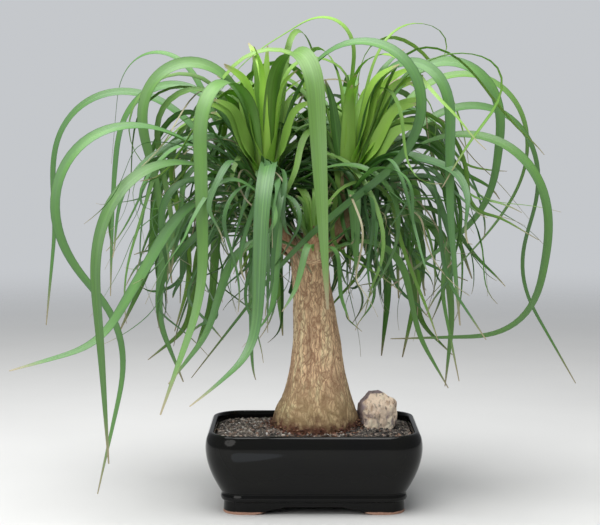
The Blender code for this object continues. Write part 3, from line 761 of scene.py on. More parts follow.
def foot_arches():
    """The two scrolled tunnels under the base, one along each direction."""
    for half, turn in ((POT_HALF_LENGTH, 0), (POT_HALF_DEPTH, 90)):
        corner = half - POT_OUTSIDE[0][1] * MM
        side = [(corner - x * MM, z * MM) for x, z in smooth_rows(FOOT_SCROLL, 3)]
        outline = [(side[0][0], -5 * MM)] + side
        outline += [(-x, z) for x, z in outline[::-1]]
        turned = Matrix.Rotation(math.radians(turn), 3, "Z")
        reach = 2 * POT_HALF_LENGTH
        bm = bmesh.new()
        loft(bm, [[turned @ Vector((x, y, z)) for x, z in outline] for y in (-reach, reach)])
        yield bm


def make_pot(settings):
    outside = POT_OUTSIDE[:1] + tuple(smooth_rows(POT_OUTSIDE[1:6], 3)[:-1]) + tuple(smooth_rows(POT_OUTSIDE[5:], 4))
    inside = smooth_rows(POT_INSIDE, 3)
    bm = bmesh.new()
    loft(bm, [pot_ring(h * MM, i * MM) for h, i in tuple(outside) + tuple(inside)])
    bmesh.ops.recalc_face_normals(bm, faces=bm.faces)
    pot = mesh_object("glazed_pot", bm, [glaze_material(settings)])

    inset = POT_OUTSIDE[0][1] * MM + FOOT_RING_WIDTH
    bm = bmesh.new()
    loft(bm, [pot_ring(-5 * MM, inset), pot_ring(FOOT_HEIGHT, inset)])
    cut(pot, bm)
    for bm in foot_arches():
        cut(pot, bm)
    for side in (-1, 1):
        bm = bmesh.new()
        bmesh.ops.create_cone(
            bm, cap_ends=True, segments=48, radius1=DRAIN_HOLE_RADIUS, radius2=DRAIN_HOLE_RADIUS,
            depth=2 * FLOOR_TOP, matrix=Matrix.Translation((side * DRAIN_HOLE_X, 0, FLOOR_TOP / 2)),
        )
        cut(pot, bm)
    rounding = pot.modifiers.new("rounding", "BEVEL")
    rounding.width = settings.lip_rounding
    rounding.segments = 2
    rounding.limit_method = "ANGLE"
    rounding.angle_limit = math.radians(50)
    mesh = applied(pot)
    mesh.shade_smooth()
    mesh.set_sharp_from_angle(angle=math.radians(40))
    place_piece(pot, "glaze", "pot")


# ---------------------------------------------------------------- soil and grit

def soil_outline(height, steps=14):
    return pot_ring(height, inside_inset(height) + SOIL_GAP, steps)


def mound_rise(share):
    """How far the soil has risen at a share of the way in from the wall to the pot's middle."""
    for (near, low), (far, high) in zip(SOIL_MOUND, SOIL_MOUND[1:]):
        if share <= far:
            return (low + (high - low) * (share - near) / (far - near)) * MM
    return SOIL_MOUND[-1][1] * MM


def soil_share(x, y):
    """The share of the way in from the pot's inner wall that a place lies at."""
    inset = inside_inset(SOIL_EDGE)
    half_x, half_y = POT_HALF_LENGTH - inset, POT_HALF_DEPTH - inset
    return 1 - (abs(x / half_x) ** 4 + abs(y / half_y) ** 4) ** 0.25


def soil_height(x, y):
    lumps = noise.noise(Vector((x, y, 0)) * 90) * 0.5 + noise.noise(Vector((x, y, 0)) * 260) * 0.25
    return SOIL_EDGE + mound_rise(max(0, soil_share(x, y))) + lumps * MM


def make_soil_bed(settings):
    """The soil itself, under the grains."""
    levels = [h * MM for h, _ in POT_INSIDE[:2:-1]] + [SOIL_EDGE - 1 * MM]
    levels[0] += 0.3 * MM
    rings = [soil_outline(level) for level in levels]
    edge = rings[-1]
    rows = 34
    for row in range(rows):
        scale = 1 - row / rows
        rings.append([Vector((p.x * scale, p.y * scale, soil_height(p.x * scale, p.y * scale))) for p in edge])
    bm = bmesh.new()
    loft(bm, rings)
    bmesh.ops.recalc_face_normals(bm, faces=bm.faces)
    bed = mesh_object("soil_bed", bm, [soil_material(settings)])
    place_piece(bed, "grit", "soil")


def trunk_at(height):
    """(x, radius) of the trunk at a height, in millimetres."""
    for (x0, z0, r0), (x1, z1, r1) in zip(TRUNK, TRUNK[1:]):
        if height <= z1:
            t = max(0, (height - z0) / (z1 - z0))
            return x0 + (x1 - x0) * t, r0 + (r1 - r0) * t
    return TRUNK[-1][0], 0


def on_open_soil(x, y, margin=0):
    """Whether a place on the soil is clear of the wall, the trunk and the stone."""
    middle, radius = trunk_at(73)
    from_trunk = math.hypot(x - middle * MM, y) - radius * MM
    dx, dy = x - STONE_CENTRE[0] * MM, y - STONE_CENTRE[1] * MM
    turned = Matrix.Rotation(-math.radians(STONE_TURN), 2) @ Vector((dx, dy))
    from_stone = max(abs(turned.x) - 0.46 * STONE_SIZE[0] * MM, abs(turned.y) - 0.44 * STONE_SIZE[1] * MM)
    return from_trunk > margin and from_stone > margin and soil_share(x, y) > 0.012


def scatter(pick, count, reach):
    """Places on the open soil: anywhere, or within reach of the trunk."""
    middle, radius = trunk_at(73)
    found = []
    while len(found) < count:
        if reach:
            angle, out = pick.uniform(0, 2 * math.pi), radius * MM + reach * pick.random() ** 1.6
            x, y = middle * MM + out * math.cos(angle), out * math.sin(angle)
        else:
            x, y = pick.uniform(-POT_HALF_LENGTH, POT_HALF_LENGTH), pick.uniform(-POT_HALF_DEPTH, POT_HALF_DEPTH)
        if on_open_soil(x, y):
            found.append((x, y))
    return found


def random_turn(pick, tilt):
    turn = Matrix.Rotation(pick.uniform(0, 2 * math.pi), 3, "Z")
    return turn @ Matrix.Rotation(pick.uniform(-tilt, tilt), 3, "X") @ Matrix.Rotation(pick.uniform(-tilt, tilt), 3, "Y")


def chip_points(bm_points, pick, size):
    """A ball's points pushed about until it is an angular chip."""
    return [
        Vector([c * s * pick.uniform(0.72, 1.12) for c, s in zip(point, size)]) for point in bm_points
    ]


def ball():
    """(points, faces) of a small round mesh."""
    bm = bmesh.new()
    bmesh.ops.create_icosphere(bm, subdivisions=1, radius=0.5)
    points = [v.co.copy() for v in bm.verts]
    faces = [[v.index for v in face.verts] for face in bm.faces]
    bm.free()
    return points, faces


def make_chips(name, seed, spots, size_of, tilt, tint_of, material, heap=0):
    """Many loose chips as one mesh, each with its own tint. They may lie in a heap against the trunk."""
    pick = random.Random(seed)
    points, faces = ball()
    all_points, all_faces, tints = [], [], []
    for x, y in spots:
        size = size_of(pick)
        turn = random_turn(pick, tilt)
        beside = math.hypot(x - trunk_at(73)[0] * MM, y) - trunk_at(73)[1] * MM
        raised = heap * pick.random() * max(0, 1 - beside / (7 * MM))
        base = Vector((x, y, soil_height(x, y) + 0.28 * size[2] + raised))
        start = len(all_points)
        all_points += [base + turn @ p for p in chip_points(points, pick, size)]
        all_faces += [[start + i for i in face] for face in faces]
        tints += [tint_of(pick, x, y)] * len(points)
    mesh = bpy.data.meshes.new(name)
    mesh.from_pydata(all_points, [], all_faces)
    mesh.attributes.new("tint", "FLOAT", "POINT").data.foreach_set("value", tints)
    return finished_object(name, mesh, [material], math.radians(25))


def make_grit(settings):
    """Loose grains over the soil, and red-brown flakes round the trunk, heaped against it."""
    pick = random.Random(11)

    def grain_size(pick):
        length = settings.smallest + (settings.largest - settings.smallest) * pick.random() ** 1.7
        return length, length * pick.uniform(0.5, 0.9), length * pick.uniform(0.3, 0.65)

    def grain_tint(pick, x, y):
        # Grains right of x = 30 mm, and in noisy patches, pick darker tints.
        tint_drop = 0.16 * (x > 0.03) + 0.1 * noise.noise(Vector((x, y, 0.5)) * 60)
        return min(1, max(0, pick.random() - tint_drop))

    spots = scatter(pick, settings.grains, 0)
    grains = make_chips("grit_grains", 5, spots, grain_size, 0.7, grain_tint, grain_material(settings))
    place_piece(grains, "grit")

    def flake_size(pick):
        length = pick.uniform(1.8, 5.0) * MM
        return length, length * pick.uniform(0.3, 0.7), pick.uniform(0.5, 1.1) * MM

    spots = scatter(pick, settings.flakes, 11 * MM)
    flakes = make_chips(
        "bark_flakes", 6, spots, flake_size, 0.5, lambda pick, x, y: pick.random() ** 1.3, flake_material(), 7 * MM
    )
    place_piece(flakes, "grit")


# ---------------------------------------------------------------- trunk and stone

def tube_rings(path, sides):
    """Level rings along a path of (x, y, height, radius)."""
    rings = []
    for x, y, height, radius in path:
        angles = [2 * math.pi * i / sides for i in range(sides)]
        rings.append([Vector((x + radius * math.cos(a), y + radius * math.sin(a), height)) * MM for a in angles])
    return rings


def head_radius(head, drop):
    """How thick a growing point is at a distance below its tip."""
    return head.radius * (1 - TAPER_SHARE * max(0, 1 - drop / TAPER_LENGTH))


def branch_path(head):
    """From the fork at the top of the trunk, out and up to a growing point, and over its tip."""
    fork = Vector((-4, 0, FORK_HEIGHT))
    neck = Vector((head.x, head.y, head.z - 30))
    path = []
    for share in (0.12, 0.3, 0.5, 0.7, 0.86):
        out = fork.lerp(neck, math.sin(math.radians(90 * share)))
        path.append((out.x, out.y, fork.z + (neck.z - fork.z) * share, 11 + (head.radius - 11) * share))
    for drop in (30, TAPER_LENGTH, 15, 8, 3, 0):
        path.append((head.x, head.y, head.z - drop, head_radius(head, drop)))
    return smooth_rows(path, 3)


def bark_relief(point, settings):
    """(how far the bark stands out, how deep in a crack the place is) at a point of the trunk."""
    z = point.z / MM
    middle, _ = trunk_at(z)
    angle = math.atan2(point.y, point.x - middle * MM)
    wobble = 0.35 * noise.noise(Vector((point.x * 60, point.y * 60, point.z * 25)))
    around = Vector((math.cos(angle + wobble), math.sin(angle + wobble), 0)) * 26 * MM / settings.plate_width
    cells = around + Vector((0, 0, point.z / (4.2 * settings.plate_width)))
    near, _ = noise.voronoi(cells)
    crack = max(0, 1 - (near[1] - near[0]) / 0.30)
    coarse = noise.fractal(Vector((point.x * 45, point.y * 45, point.z * 14)), 1, 2, 3)
    strength = 0.55 + 0.45 * min(1, max(0, (130 - z) / 60))
    lobes = math.cos(3 * angle + 0.6) + 0.7 * math.cos(5 * angle - 1.1)
    flare = 1.1 * MM * lobes * max(0, min(1, (112 - z) / 40))
    fine = noise.noise(point * 420) * 0.12 * MM
    out = flare + 0.7 * MM * coarse - settings.crack_depth * strength * crack**0.7 + fine
    return out, crack * strength


def make_trunk(settings):
    """Trunk and branches as one skin, with plates and cracks."""
    bm = bmesh.new()
    loft(bm, tube_rings([(x, 0, z, r) for x, z, r in smooth_rows(TRUNK, 4)], 72))
    for head in HEADS.values():
        loft(bm, tube_rings(branch_path(head), 28))
    bmesh.ops.recalc_face_normals(bm, faces=bm.faces)
    trunk = mesh_object("swollen_trunk", bm, [bark_material(settings)])
    skin = trunk.modifiers.new("skin", "REMESH")
    skin.mode = "VOXEL"
    skin.voxel_size = settings.mesh_size
    ease_out = trunk.modifiers.new("ease", "SMOOTH")
    ease_out.factor = 0.5
    ease_out.iterations = 4
    mesh = applied(trunk)
    normals = [v.normal.copy() for v in mesh.vertices]
    cracks = []
    for vertex, normal in zip(mesh.vertices, normals):
        out, crack = bark_relief(vertex.co, settings)
        vertex.co += normal * out
        cracks.append(crack)
    mesh.attributes.new("crack", "FLOAT", "POINT").data.foreach_set("value", cracks)
    mesh.shade_smooth()
    place_piece(trunk, "bark", "trunk")


def make_stone(settings):
    """A split block of stone, worn at its edges and pitted."""
    bm = bmesh.new()
    bmesh.ops.create_cube(bm, size=1)
    for point, normal in STONE_SPLITS:
        geometry = bm.verts[:] + bm.edges[:] + bm.faces[:]
        split = bmesh.ops.bisect_plane(bm, geom=geometry, plane_co=point, plane_no=normal, clear_outer=True)
        edges = [e for e in split["geom_cut"] if isinstance(e, bmesh.types.BMEdge)]
        bmesh.ops.contextual_create(bm, geom=edges)
    bmesh.ops.recalc_face_normals(bm, faces=bm.faces)
    turned = Matrix.Rotation(math.radians(STONE_TURN), 4, "Z")
    place = Matrix.Translation([v * MM for v in STONE_CENTRE]) @ turned
    scale = Matrix.Diagonal((*(side * MM for side in STONE_SIZE), 1))
    bmesh.ops.transform(bm, matrix=place @ scale, verts=bm.verts)
    stone = mesh_object("rough_stone", bm, [stone_material(settings)])
    skin = stone.modifiers.new("skin", "REMESH")
    skin.mode = "VOXEL"
    skin.voxel_size = 0.6 * MM
    worn = stone.modifiers.new("wear", "SMOOTH")
    worn.factor = 0.5
    worn.iterations = 5
    mesh = applied(stone)
    crust = []
    for vertex, normal in [(v, v.normal.copy()) for v in mesh.vertices]:
        grooved = Vector((vertex.co.x, vertex.co.y, 0.4 * vertex.co.z))
        facets = noise.voronoi(grooved * 170)[0][0] - 0.4 + 1.3 * noise.noise(vertex.co * 62 + Vector((3, 1, 7)))
        lumps = noise.fractal(vertex.co * 150, 0.9, 2.1, 4)
        weathered = normal.dot(Vector((-0.8, 0.25, 0.55))) + 0.55 * noise.noise(vertex.co * 95)
        crust.append(ease(0.5 + 1.4 * (weathered - 0.42)))
        vertex.co += normal * settings.roughening * (1.3 * facets + 0.7 * lumps)
    mesh.attributes.new("crust", "FLOAT", "POINT").data.foreach_set("value", crust)
    mesh.shade_smooth()
    place_piece(stone, "stone", "stone")


# ---------------------------------------------------------------- leaves

def ease(value):
    """0 below 0, 1 above 1, and a smooth step between."""
    value = min(1, max(0, value))
    return value * value * (3 - 2 * value)


def leaf_direction(leaf, s):
    """Which way a leaf runs, and which way lies across it, at a share s of its length."""
    turned = ease((s - leaf.crest + leaf.bend) / (2 * leaf.bend))
    ended = ease((s - TIP_START) / TIP_TURN)
    elevation = leaf.rise + (leaf.fall - leaf.rise) * turned + (leaf.tip - leaf.fall) * ended
    elevation = math.radians(elevation)
    heading = math.radians(leaf.heading + leaf.sweep * s)
    out = Vector((math.cos(heading), math.sin(heading), 0))
    along = out * math.cos(elevation) + Vector((0, 0, math.sin(elevation)))
    level = Vector((-math.sin(heading), math.cos(heading), 0))
    return along, Matrix.Rotation(math.radians(leaf.roll * ease(s / ROLL_END)), 3, along) @ level


def leaf_path(leaf, steps):
    """(middle, direction along, direction across, width) at each step from base to tip, in metres."""
    head = HEADS[leaf.head]
    start = math.radians(leaf.heading)
    drop = max(1.5, LOWEST_SEAT - 0.32 * (leaf.rise - 10))
    out = Vector((math.cos(start), math.sin(start), 0))
    seat = Vector((head.x, head.y, head.z - drop)) + out * (head_radius(head, drop) + LEAF_SEAT)
    middle = seat * MM
    path = []
    for step in range(steps + 1):
        s = step / steps
        width = leaf.width * MM * min(1, BASE_SHARE + 4 * s) * (1 - (1 - TIP_SHARE) * s**2.4)
        along, across = leaf_direction(leaf, s)
        path.append((middle.copy(), along, across, width))
        middle += leaf_direction(leaf, s + 0.5 / steps)[0] * leaf.length * MM / steps
    return path


# Blade sections: how steeply each half folds up from the middle, at the base, a quarter along and the tip.
FOLDS = ((0, 40), (0.12, 24), (0.3, 13), (0.7, 8), (1, 4))


def fold_at(s):
    for (low, first), (high, second) in zip(FOLDS, FOLDS[1:]):
        if s <= high:
            return math.radians(first + (second - first) * (s - low) / (high - low))
    return 0


def blade_rings(path, length, look, thickness, columns, seed):
    """Rings round a channelled blade, with (blade, upper) values for each of their points."""
    pick = random.Random(seed)
    phase, waves = pick.uniform(0, 6.3), pick.uniform(18, 34)
    rings, values = [], []
    steps = len(path) - 1
    middle, along, across, width = path[0]
    path.insert(0, (middle - along * 7 * MM, along, across, width * 1.25))
    for step, (middle, along, across, width) in enumerate(path):
        s = max(0, step - 1) / steps
        turn = Matrix.Rotation(math.radians(look.twist * ease((s - 0.35) / 0.65)), 3, along)
        across = turn @ across
        up = along.cross(across)
        fold = fold_at(s)
        ring, value = [], []
        for side in (1, -1):
            for column in range(columns):
                u = -side * (1 - 2 * column / (columns - 1))
                wave = 0.02 * width * math.sin(waves * s + phase + 2 * u) * u * u
                lift = abs(u) ** 1.4 * width / 2 * math.sin(fold) + wave
                half_thick = thickness / 2 * (1 - 0.62 * u * u) * (1 - 0.45 * s)
                ring.append(middle + across * u * width / 2 * math.cos(fold) + up * (lift + side * half_thick))
                value.append(((u, s, s * length), 1.0 if side > 0 else 0.0))
        rings.append(ring)
        values.append(value)
    return rings, values


def make_blades(name, blades, thickness, material, columns, seed):
    """One mesh of blades. blades is a list of (path, length, look)."""
    points, faces, blade, upper, growth = [], [], [], [], []
    for number, (path, length, look) in enumerate(blades):
        rings, values = blade_rings(path, length, look, thickness, columns, seed + number)
        start, count = len(points), len(rings[0])
        for ring, value in zip(rings, values):
            points += ring
            for (b, u) in value:
                blade += b
                upper.append(u)
                growth += (look.tint, look.youth, look.dry)
        for row in range(len(rings) - 1):
            a, b = start + row * count, start + (row + 1) * count
            faces += [(a + i, a + (i + 1) % count, b + (i + 1) % count, b + i) for i in range(count)]
        last = start + (len(rings) - 1) * count
        for ring_start, flip in ((start, True), (last, False)):
            for i in range(columns - 1):
                lower, higher = ring_start + i, ring_start + count - 1 - i
                face = (lower, higher, higher - 1, lower + 1)
                faces.append(face if flip else face[::-1])
    mesh = bpy.data.meshes.new(name)
    mesh.from_pydata(points, [], faces)
    bm = bmesh.new()
    bm.from_mesh(mesh)
    bmesh.ops.recalc_face_normals(bm, faces=bm.faces)
    bm.to_mesh(mesh)
    bm.free()
    mesh.attributes.new("blade", "FLOAT_VECTOR", "POINT").data.foreach_set("vector", blade)
    mesh.attributes.new("growth", "FLOAT_VECTOR", "POINT").data.foreach_set("vector", growth)
    mesh.attributes.new("upper", "FLOAT", "POINT").data.foreach_set("value", upper)
    return finished_object(name, mesh, [material], math.radians(60))


def grown(leaf, look, steps):
    """(path, length, look) of a leaf, as make_blades takes it."""
    return leaf_path(leaf, steps), leaf.length * MM, look


def shared_leaf_material(settings):
    return bpy.data.materials.get("ribbed_leaf") or leaf_material(settings)


def make_long_leaves(settings):
    """The broad leaves, one piece each."""
    pick = random.Random(21)
    material = shared_leaf_material(settings)
    for number, (node, leaf) in enumerate(LEAVES.items()):
        youth = 0.55 if leaf.rise > 84 and leaf.length < 150 else max(0, (leaf.rise - 78) / 60)
        youth = youth * pick.uniform(0.7, 1.2) + 0.22 * pick.random() ** 2
        look = Look(pick.uniform(0.25, 0.95), youth, 0, pick.uniform(-22, 22))
        blade = make_blades("blade_" + node, [grown(leaf, look, 64)], settings.thickness, material, 9, 100 + number)
        place_piece(blade, "leaf", node)


def inside_limits(path, low, high):
    """Whether a blade stays in the plant's space, and clear of the trunk, the stone and the pot."""
    for middle, _, _, width in path:
        if any(c < a or c > b for c, a, b in zip(middle, low, high)):
            return False
        x, radius = trunk_at(middle.z / MM)
        if middle.z < 250 * MM and math.hypot(middle.x - x * MM, middle.y) < radius * MM + width:
            return False
        over_pot = abs(middle.x) < POT_HALF_LENGTH + 4 * MM and abs(middle.y) < POT_HALF_DEPTH + 4 * MM
        if over_pot and middle.z < 108 * MM:
            return False
    return True


def in_the_way(path):
    """Whether a blade hangs in front of the trunk's bare part or the middle, or crosses in front of a heart."""
    for middle, _, _, _ in path:
        x, y, z = middle / MM
        if y > 10:
            continue
        if abs(x - 1) < 27 and z < 236 or y < -44 and abs(x - 10) < 22 and z < 345:
            return True
        if any(abs(x - h.x) < 30 and y < h.y - 12 and z > h.z + 6 for h in (HEADS["left"], HEADS["right"])):
            return True
    return False


def crosses_a_heart(path, own_head):
    """Whether a blade from one growing point runs through the upright leaves of another."""
    others = [head for name, head in HEADS.items() if name != own_head]
    for middle, _, _, _ in path:
        x, y, z = middle / MM
        if any(math.hypot(x - h.x, y - h.y) < 15 and h.z + 8 < z < h.z + 100 for h in others):
            return True
    return False


def swayed(path, pick, amount):
    """A path that wanders more and more toward its tip."""
    start = Vector((pick.uniform(0, 50), pick.uniform(0, 50), pick.uniform(0, 50)))
    last = len(path) - 1
    bent = []
    for step, (middle, along, across, width) in enumerate(path):
        s = step / last
        push = noise.noise_vector(start + Vector((2.4 * s, 0, 0))) - noise.noise_vector(start)
        bent.append((middle + push * amount * s, along, across, width))
    return bent


def fine_leaf(pick, head, number, count):
    """A narrow leaf: the first ones rise steeply, the last ones leave low and hang."""
    level = ((number + pick.random()) / count) ** 1.3
    rise = 80 - 88 * level + pick.uniform(-9, 9)
    length = (315 - 175 * level) * pick.uniform(0.6, 1.15)
    return Leaf(
        head, (number * 137.5 + pick.uniform(-20, 20)) % 360, pick.uniform(-45, 45), rise,
        pick.uniform(0.28, 0.55), pick.uniform(0.22, 0.36), pick.uniform(-98, -48),
        pick.uniform(-160, 0), length, pick.triangular(3.0, 12.5, 5.5), pick.uniform(-50, 50),
    )


def make_fine_leaves(settings):
    """The crowd of narrow leaves round each growing point, one piece for each point."""
    low, high = SOLID_BOX
    low = low + Vector((2 * MM, 2 * MM, 112 * MM))
    high = high - Vector((2 * MM, 2 * MM, 2 * MM))
    shares = {"left": 0.25, "right": 0.25, "back_left": 0.21, "back_right": 0.21, "front": 0.08}
    material = shared_leaf_material(settings)
    for seed, (head, share) in enumerate(shares.items()):
        pick = random.Random(300 + seed)
        count = round(settings.fine_leaves * share)
        leaves = []
        for number in range(count):
            for _ in range(40):
                dry = pick.random() < 0.08
                leaf = fine_leaf(pick, head, number, count)
                if dry:
                    leaf = leaf._replace(width=2.2, length=0.8 * leaf.length)
                path = swayed(leaf_path(leaf, 30), pick, 32 * MM)
                blocked = in_the_way(path) or crosses_a_heart(path, head)
                if inside_limits(path, low, high) and not blocked:
                    youth = max(0, (leaf.rise - 55) / 60)
                    look = Look(pick.random() ** 1.3, youth, 0.85 * dry, pick.uniform(-80, 80))
                    leaves.append((path, leaf.length * MM, look))
                    break
        piece = make_blades(head + "_fine_leaves", leaves, settings.thickness, material, 5, 1000 * seed)
        place_piece(piece, "leaf")


def make_hearts(settings):
    """The young upright leaves in the middle of each growing point, in a fan with its broad faces to the front.

    Each heart has its size, and how far its fan leans to the right of upright, in degrees.
    """
    material = shared_leaf_material(settings)
    hearts = {"left": (1, -3), "right": (1, 17), "back_left": (0.85, -8), "back_right": (0.85, 10), "front": (0.36, 0)}
    for seed, (head, (size, lean)) in enumerate(hearts.items()):
        pick = random.Random(500 + seed)
        leaves = []
        for number in range(13):
            spread = 3.1 * number * (1 if number % 2 else -1) * 0.55 + pick.uniform(-2, 2)
            side, out = lean + spread, (4 + 0.9 * number) * (1 if number % 3 else -1)
            heading = math.degrees(math.atan2(-out, side)) % 360
            rise = 90 - math.hypot(side, out)
            length = size * (124 - 3 * number) * pick.uniform(0.9, 1.08)
            toward_front = 90 * math.cos(math.radians(heading)) + pick.uniform(-16, 16)
            leaf = Leaf(
                head, heading, pick.uniform(-6, 6), rise, 0.92, 0.35, rise - 34,
                rise - 70, length, size * pick.uniform(12, 16), max(-80, min(80, toward_front)),
            )
            # Youth grows with the heart's size, so the small front heart is painted a darker, less yellow green:
            # painted shade.
            youth = size * (1 - 0.035 * number + pick.uniform(-0.12, 0))
            leaves.append(grown(leaf, Look(pick.uniform(0.6, 1), youth, 0, pick.uniform(-8, 8)), 22))
        piece = make_blades(head + "_heart", leaves, settings.thickness, material, 7, 5000 + 100 * seed)
        place_piece(piece, "leaf")


def sheath_path(pick, steps):
    """A short dry strip that peels up and away from the top of the trunk."""
    angle = pick.uniform(0, 2 * math.pi)
    height = pick.uniform(214, 246)
    x, radius = trunk_at(height)
    out = Vector((math.cos(angle), math.sin(angle), 0))
    across = Vector((-math.sin(angle), math.cos(angle), 0))
    middle = (Vector((x, 0, height)) + out * (radius - 0.6)) * MM
    length, width = pick.uniform(9, 26) * MM, pick.uniform(1.2, 3.4) * MM
    peel, lean = pick.uniform(5, 62), pick.uniform(-35, 35)
    path = []
    for step in range(steps + 1):
        s = step / steps
        tilt = math.radians(peel * s + 3)
        along = Vector((0, 0, 1)) * math.cos(tilt) + out * math.sin(tilt)
        sideways = Matrix.Rotation(math.radians(lean), 3, out)
        path.append((middle.copy(), sideways @ along, sideways @ across, width * (1 - 0.75 * s**2)))
        middle += sideways @ along * length / steps
    return path, length


def make_sheaths(settings):
    """Dry strips of old leaf bases round the top of the trunk."""
    pick = random.Random(77)
    strips = []
    for _ in range(settings.dry_sheaths):
        path, length = sheath_path(pick, 8)
        strips.append((path, length, Look(pick.random(), 0, pick.uniform(0.7, 1), pick.uniform(-50, 50))))
    piece = make_blades("dry_sheaths", strips, 0.35 * MM, shared_leaf_material(settings), 5, 7000)
    place_piece(piece, "leaf")


# ---------------------------------------------------------------- stage

def aim(obj, target):
    obj.rotation_euler = (Vector(target) - obj.location).to_track_quat("-Z", "Y").to_euler()


def area_light(name, place, target, width, height, power, colour, shape="RECTANGLE"):
    light = bpy.data.lights.new(name, "AREA")
    light.shape = shape
    light.size = width
    light.size_y = height
    light.energy = power
    light.color = colour
    obj = bpy.data.objects.new(name, light)
    obj.location = place
    aim(obj, target)
    bpy.context.scene.collection.objects.link(obj)


def make_floor(settings):
    bm = bmesh.new()
    bmesh.ops.create_circle(bm, cap_ends=True, segments=96, radius=3.2)
    floor = mesh_object("studio_floor", bm, [floor_material(settings)])


def make_backdrop():
    """A plain pale surround, brighter to look at than to be lit by."""
    world = bpy.data.worlds.new("pale_surround")
    bpy.context.scene.world = world
    world.use_nodes = True
    tree = world.node_tree
    seen = add_node(tree, "LightPath").outputs["Is Camera Ray"]
    strength = add_node(tree, "MapRange", {"Value": seen, "To Min": 0.30, "To Max": 0.60}).outputs[0]
    tree.nodes["Background"].inputs["Color"].default_value = (0.93, 0.96, 1.0, 1)
    tree.links.new(strength, tree.nodes["Background"].inputs["Strength"])


def make_camera(settings):
    data = bpy.data.cameras.new("front_camera")
    data.lens = settings.focal_length
    data.sensor_width = 36
    camera = bpy.data.objects.new("front_camera", data)
    camera.location = (-0.0128, -1.596, 0.3545)
    camera.rotation_euler = (math.radians(90 - 4.65), 0, 0)
    bpy.context.scene.collection.objects.link(camera)
    bpy.context.scene.camera = camera


def make_stage(settings):
    make_floor(settings)
    make_backdrop()
    middle = (0, 0, 0.25)
    area_light("top_softbox", (-0.15, -0.25, 1.5), middle, 1.5, 1.2, settings.top_light, (1.0, 1.0, 1.0))
    area_light("front_softbox", (-1.0, -1.6, 0.95), middle, 1.3, 1.2, settings.front_light, (1.0, 0.98, 0.95), "ELLIPSE")
    area_light("low_card", (-0.085, -0.24, 0.004), (-0.085, -0.24, 1), 0.10, 0.17, 0.05, (0.75, 0.85, 1.0), "ELLIPSE")
    make_camera(settings)
    bpy.context.scene.view_settings.view_transform = "Standard"


# ---------------------------------------------------------------- add-on

class PALM_OT_glazed_pot(bpy.types.Operator):
    """Make the glazed pot with its feet, arches and drain holes"""

    bl_idname = "palm.glazed_pot"
    bl_label = "Glazed Pot"

    def execute(self, context):
        make_pot(context.scene.palm_pot)
        return {"FINISHED"}


class PALM_OT_drain_screens(bpy.types.Operator):
    """Finish the two plastic screens over the drain holes"""

    bl_idname = "palm.drain_screens"
    bl_label = "Drain Screens"

    def execute(self, context):
        material = screen_material()
        for node in ("drain_screen_left", "drain_screen_right"):
            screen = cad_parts[node]
            screen.data.materials.clear()
            screen.data.materials.append(material)
        return {"FINISHED"}


class PALM_OT_gritty_soil(bpy.types.Operator):
    """Make the soil and the grit and bark flakes on it"""

    bl_idname = "palm.gritty_soil"
    bl_label = "Gritty Soil"

    def execute(self, context):
        make_soil_bed(context.scene.palm_soil)
        make_grit(context.scene.palm_soil)
        return {"FINISHED"}


class PALM_OT_swollen_trunk(bpy.types.Operator):
    """Make the swollen trunk with its branches"""

    bl_idname = "palm.swollen_trunk"
    bl_label = "Swollen Trunk"

    def execute(self, context):
        make_trunk(context.scene.palm_trunk)
        return {"FINISHED"}


class PALM_OT_rough_stone(bpy.types.Operator):
    """Make the stone beside the trunk"""

    bl_idname = "palm.rough_stone"
    bl_label = "Rough Stone"

    def execute(self, context):
        make_stone(context.scene.palm_stone)
        return {"FINISHED"}


class PALM_OT_long_leaves(bpy.types.Operator):
    """Make the broad arching leaves, one piece each"""

    bl_idname = "palm.long_leaves"
    bl_label = "Long Leaves"

    def execute(self, context):
        make_long_leaves(context.scene.palm_leaf)
        return {"FINISHED"}


class PALM_OT_fine_leaves(bpy.types.Operator):
    """Make the crowd of narrow leaves round each growing point"""

    bl_idname = "palm.fine_leaves"
    bl_label = "Fine Leaves"

    def execute(self, context):
        make_fine_leaves(context.scene.palm_leaf)
        return {"FINISHED"}


class PALM_OT_hearts(bpy.types.Operator):
    """Make the young upright leaves in each growing point"""

    bl_idname = "palm.hearts"
    bl_label = "Hearts"

    def execute(self, context):
        make_hearts(context.scene.palm_leaf)
        return {"FINISHED"}


class PALM_OT_dry_sheaths(bpy.types.Operator):
    """Make the dry strips round the top of the trunk"""

    bl_idname = "palm.dry_sheaths"
    bl_label = "Dry Sheaths"

    def execute(self, context):
        make_sheaths(context.scene.palm_leaf)
        return {"FINISHED"}


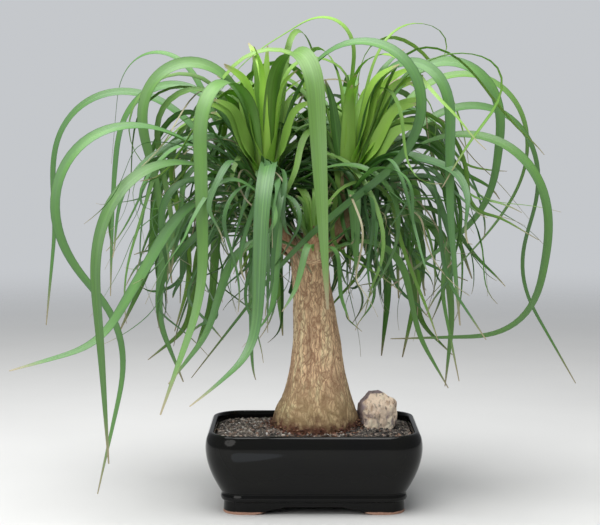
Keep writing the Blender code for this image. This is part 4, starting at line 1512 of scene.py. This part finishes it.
class PALM_OT_stage(bpy.types.Operator):
    """Make the studio floor, lights and camera"""

    bl_idname = "palm.stage"
    bl_label = "Studio Stage"

    def execute(self, context):
        make_stage(context.scene.palm_stage)
        return {"FINISHED"}


OPERATORS = (
    PALM_OT_glazed_pot, PALM_OT_drain_screens, PALM_OT_gritty_soil, PALM_OT_swollen_trunk,
    PALM_OT_rough_stone, PALM_OT_long_leaves, PALM_OT_fine_leaves, PALM_OT_hearts, PALM_OT_dry_sheaths,
    PALM_OT_stage,
)
SETTINGS = {
    "palm_pot": PotSettings, "palm_soil": SoilSettings, "palm_trunk": TrunkSettings,
    "palm_stone": StoneSettings, "palm_leaf": LeafSettings, "palm_stage": StageSettings,
}


class PALM_PT_sidebar(bpy.types.Panel):
    """Lists the settings and the operators"""

    bl_idname = "PALM_PT_sidebar"
    bl_label = "Ponytail Palm"
    bl_space_type = "VIEW_3D"
    bl_region_type = "UI"
    bl_category = "Ponytail Palm"

    def draw(self, context):
        for name in SETTINGS:
            box = self.layout.box()
            group = getattr(context.scene, name)
            box.label(text=name.removeprefix("palm_").title())
            for key in group.bl_rna.properties.keys():
                if key not in ("rna_type", "name"):
                    box.prop(group, key)
        for operator in OPERATORS:
            self.layout.operator(operator.bl_idname)


def register():
    for cls in (*SETTINGS.values(), *OPERATORS, PALM_PT_sidebar):
        bpy.utils.register_class(cls)
    for name, group in SETTINGS.items():
        setattr(bpy.types.Scene, name, PointerProperty(type=group))


def unregister():
    for name in SETTINGS:
        delattr(bpy.types.Scene, name)
    for cls in (PALM_PT_sidebar, *OPERATORS[::-1], *SETTINGS.values()):
        bpy.utils.unregister_class(cls)


def remove_startup_objects():
    for name in ("Cube", "Light", "Camera"):
        obj = bpy.data.objects.get(name)
        if obj:
            bpy.data.objects.remove(obj)


def write_sizes():
    """Brings the view layer up to date."""
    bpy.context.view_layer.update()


def main():
    remove_startup_objects()
    register()
    for operator in OPERATORS:
        group, name = operator.bl_idname.split(".")
        getattr(getattr(bpy.ops, group), name)()
    write_sizes()


if __name__ == "__main__":
    main()
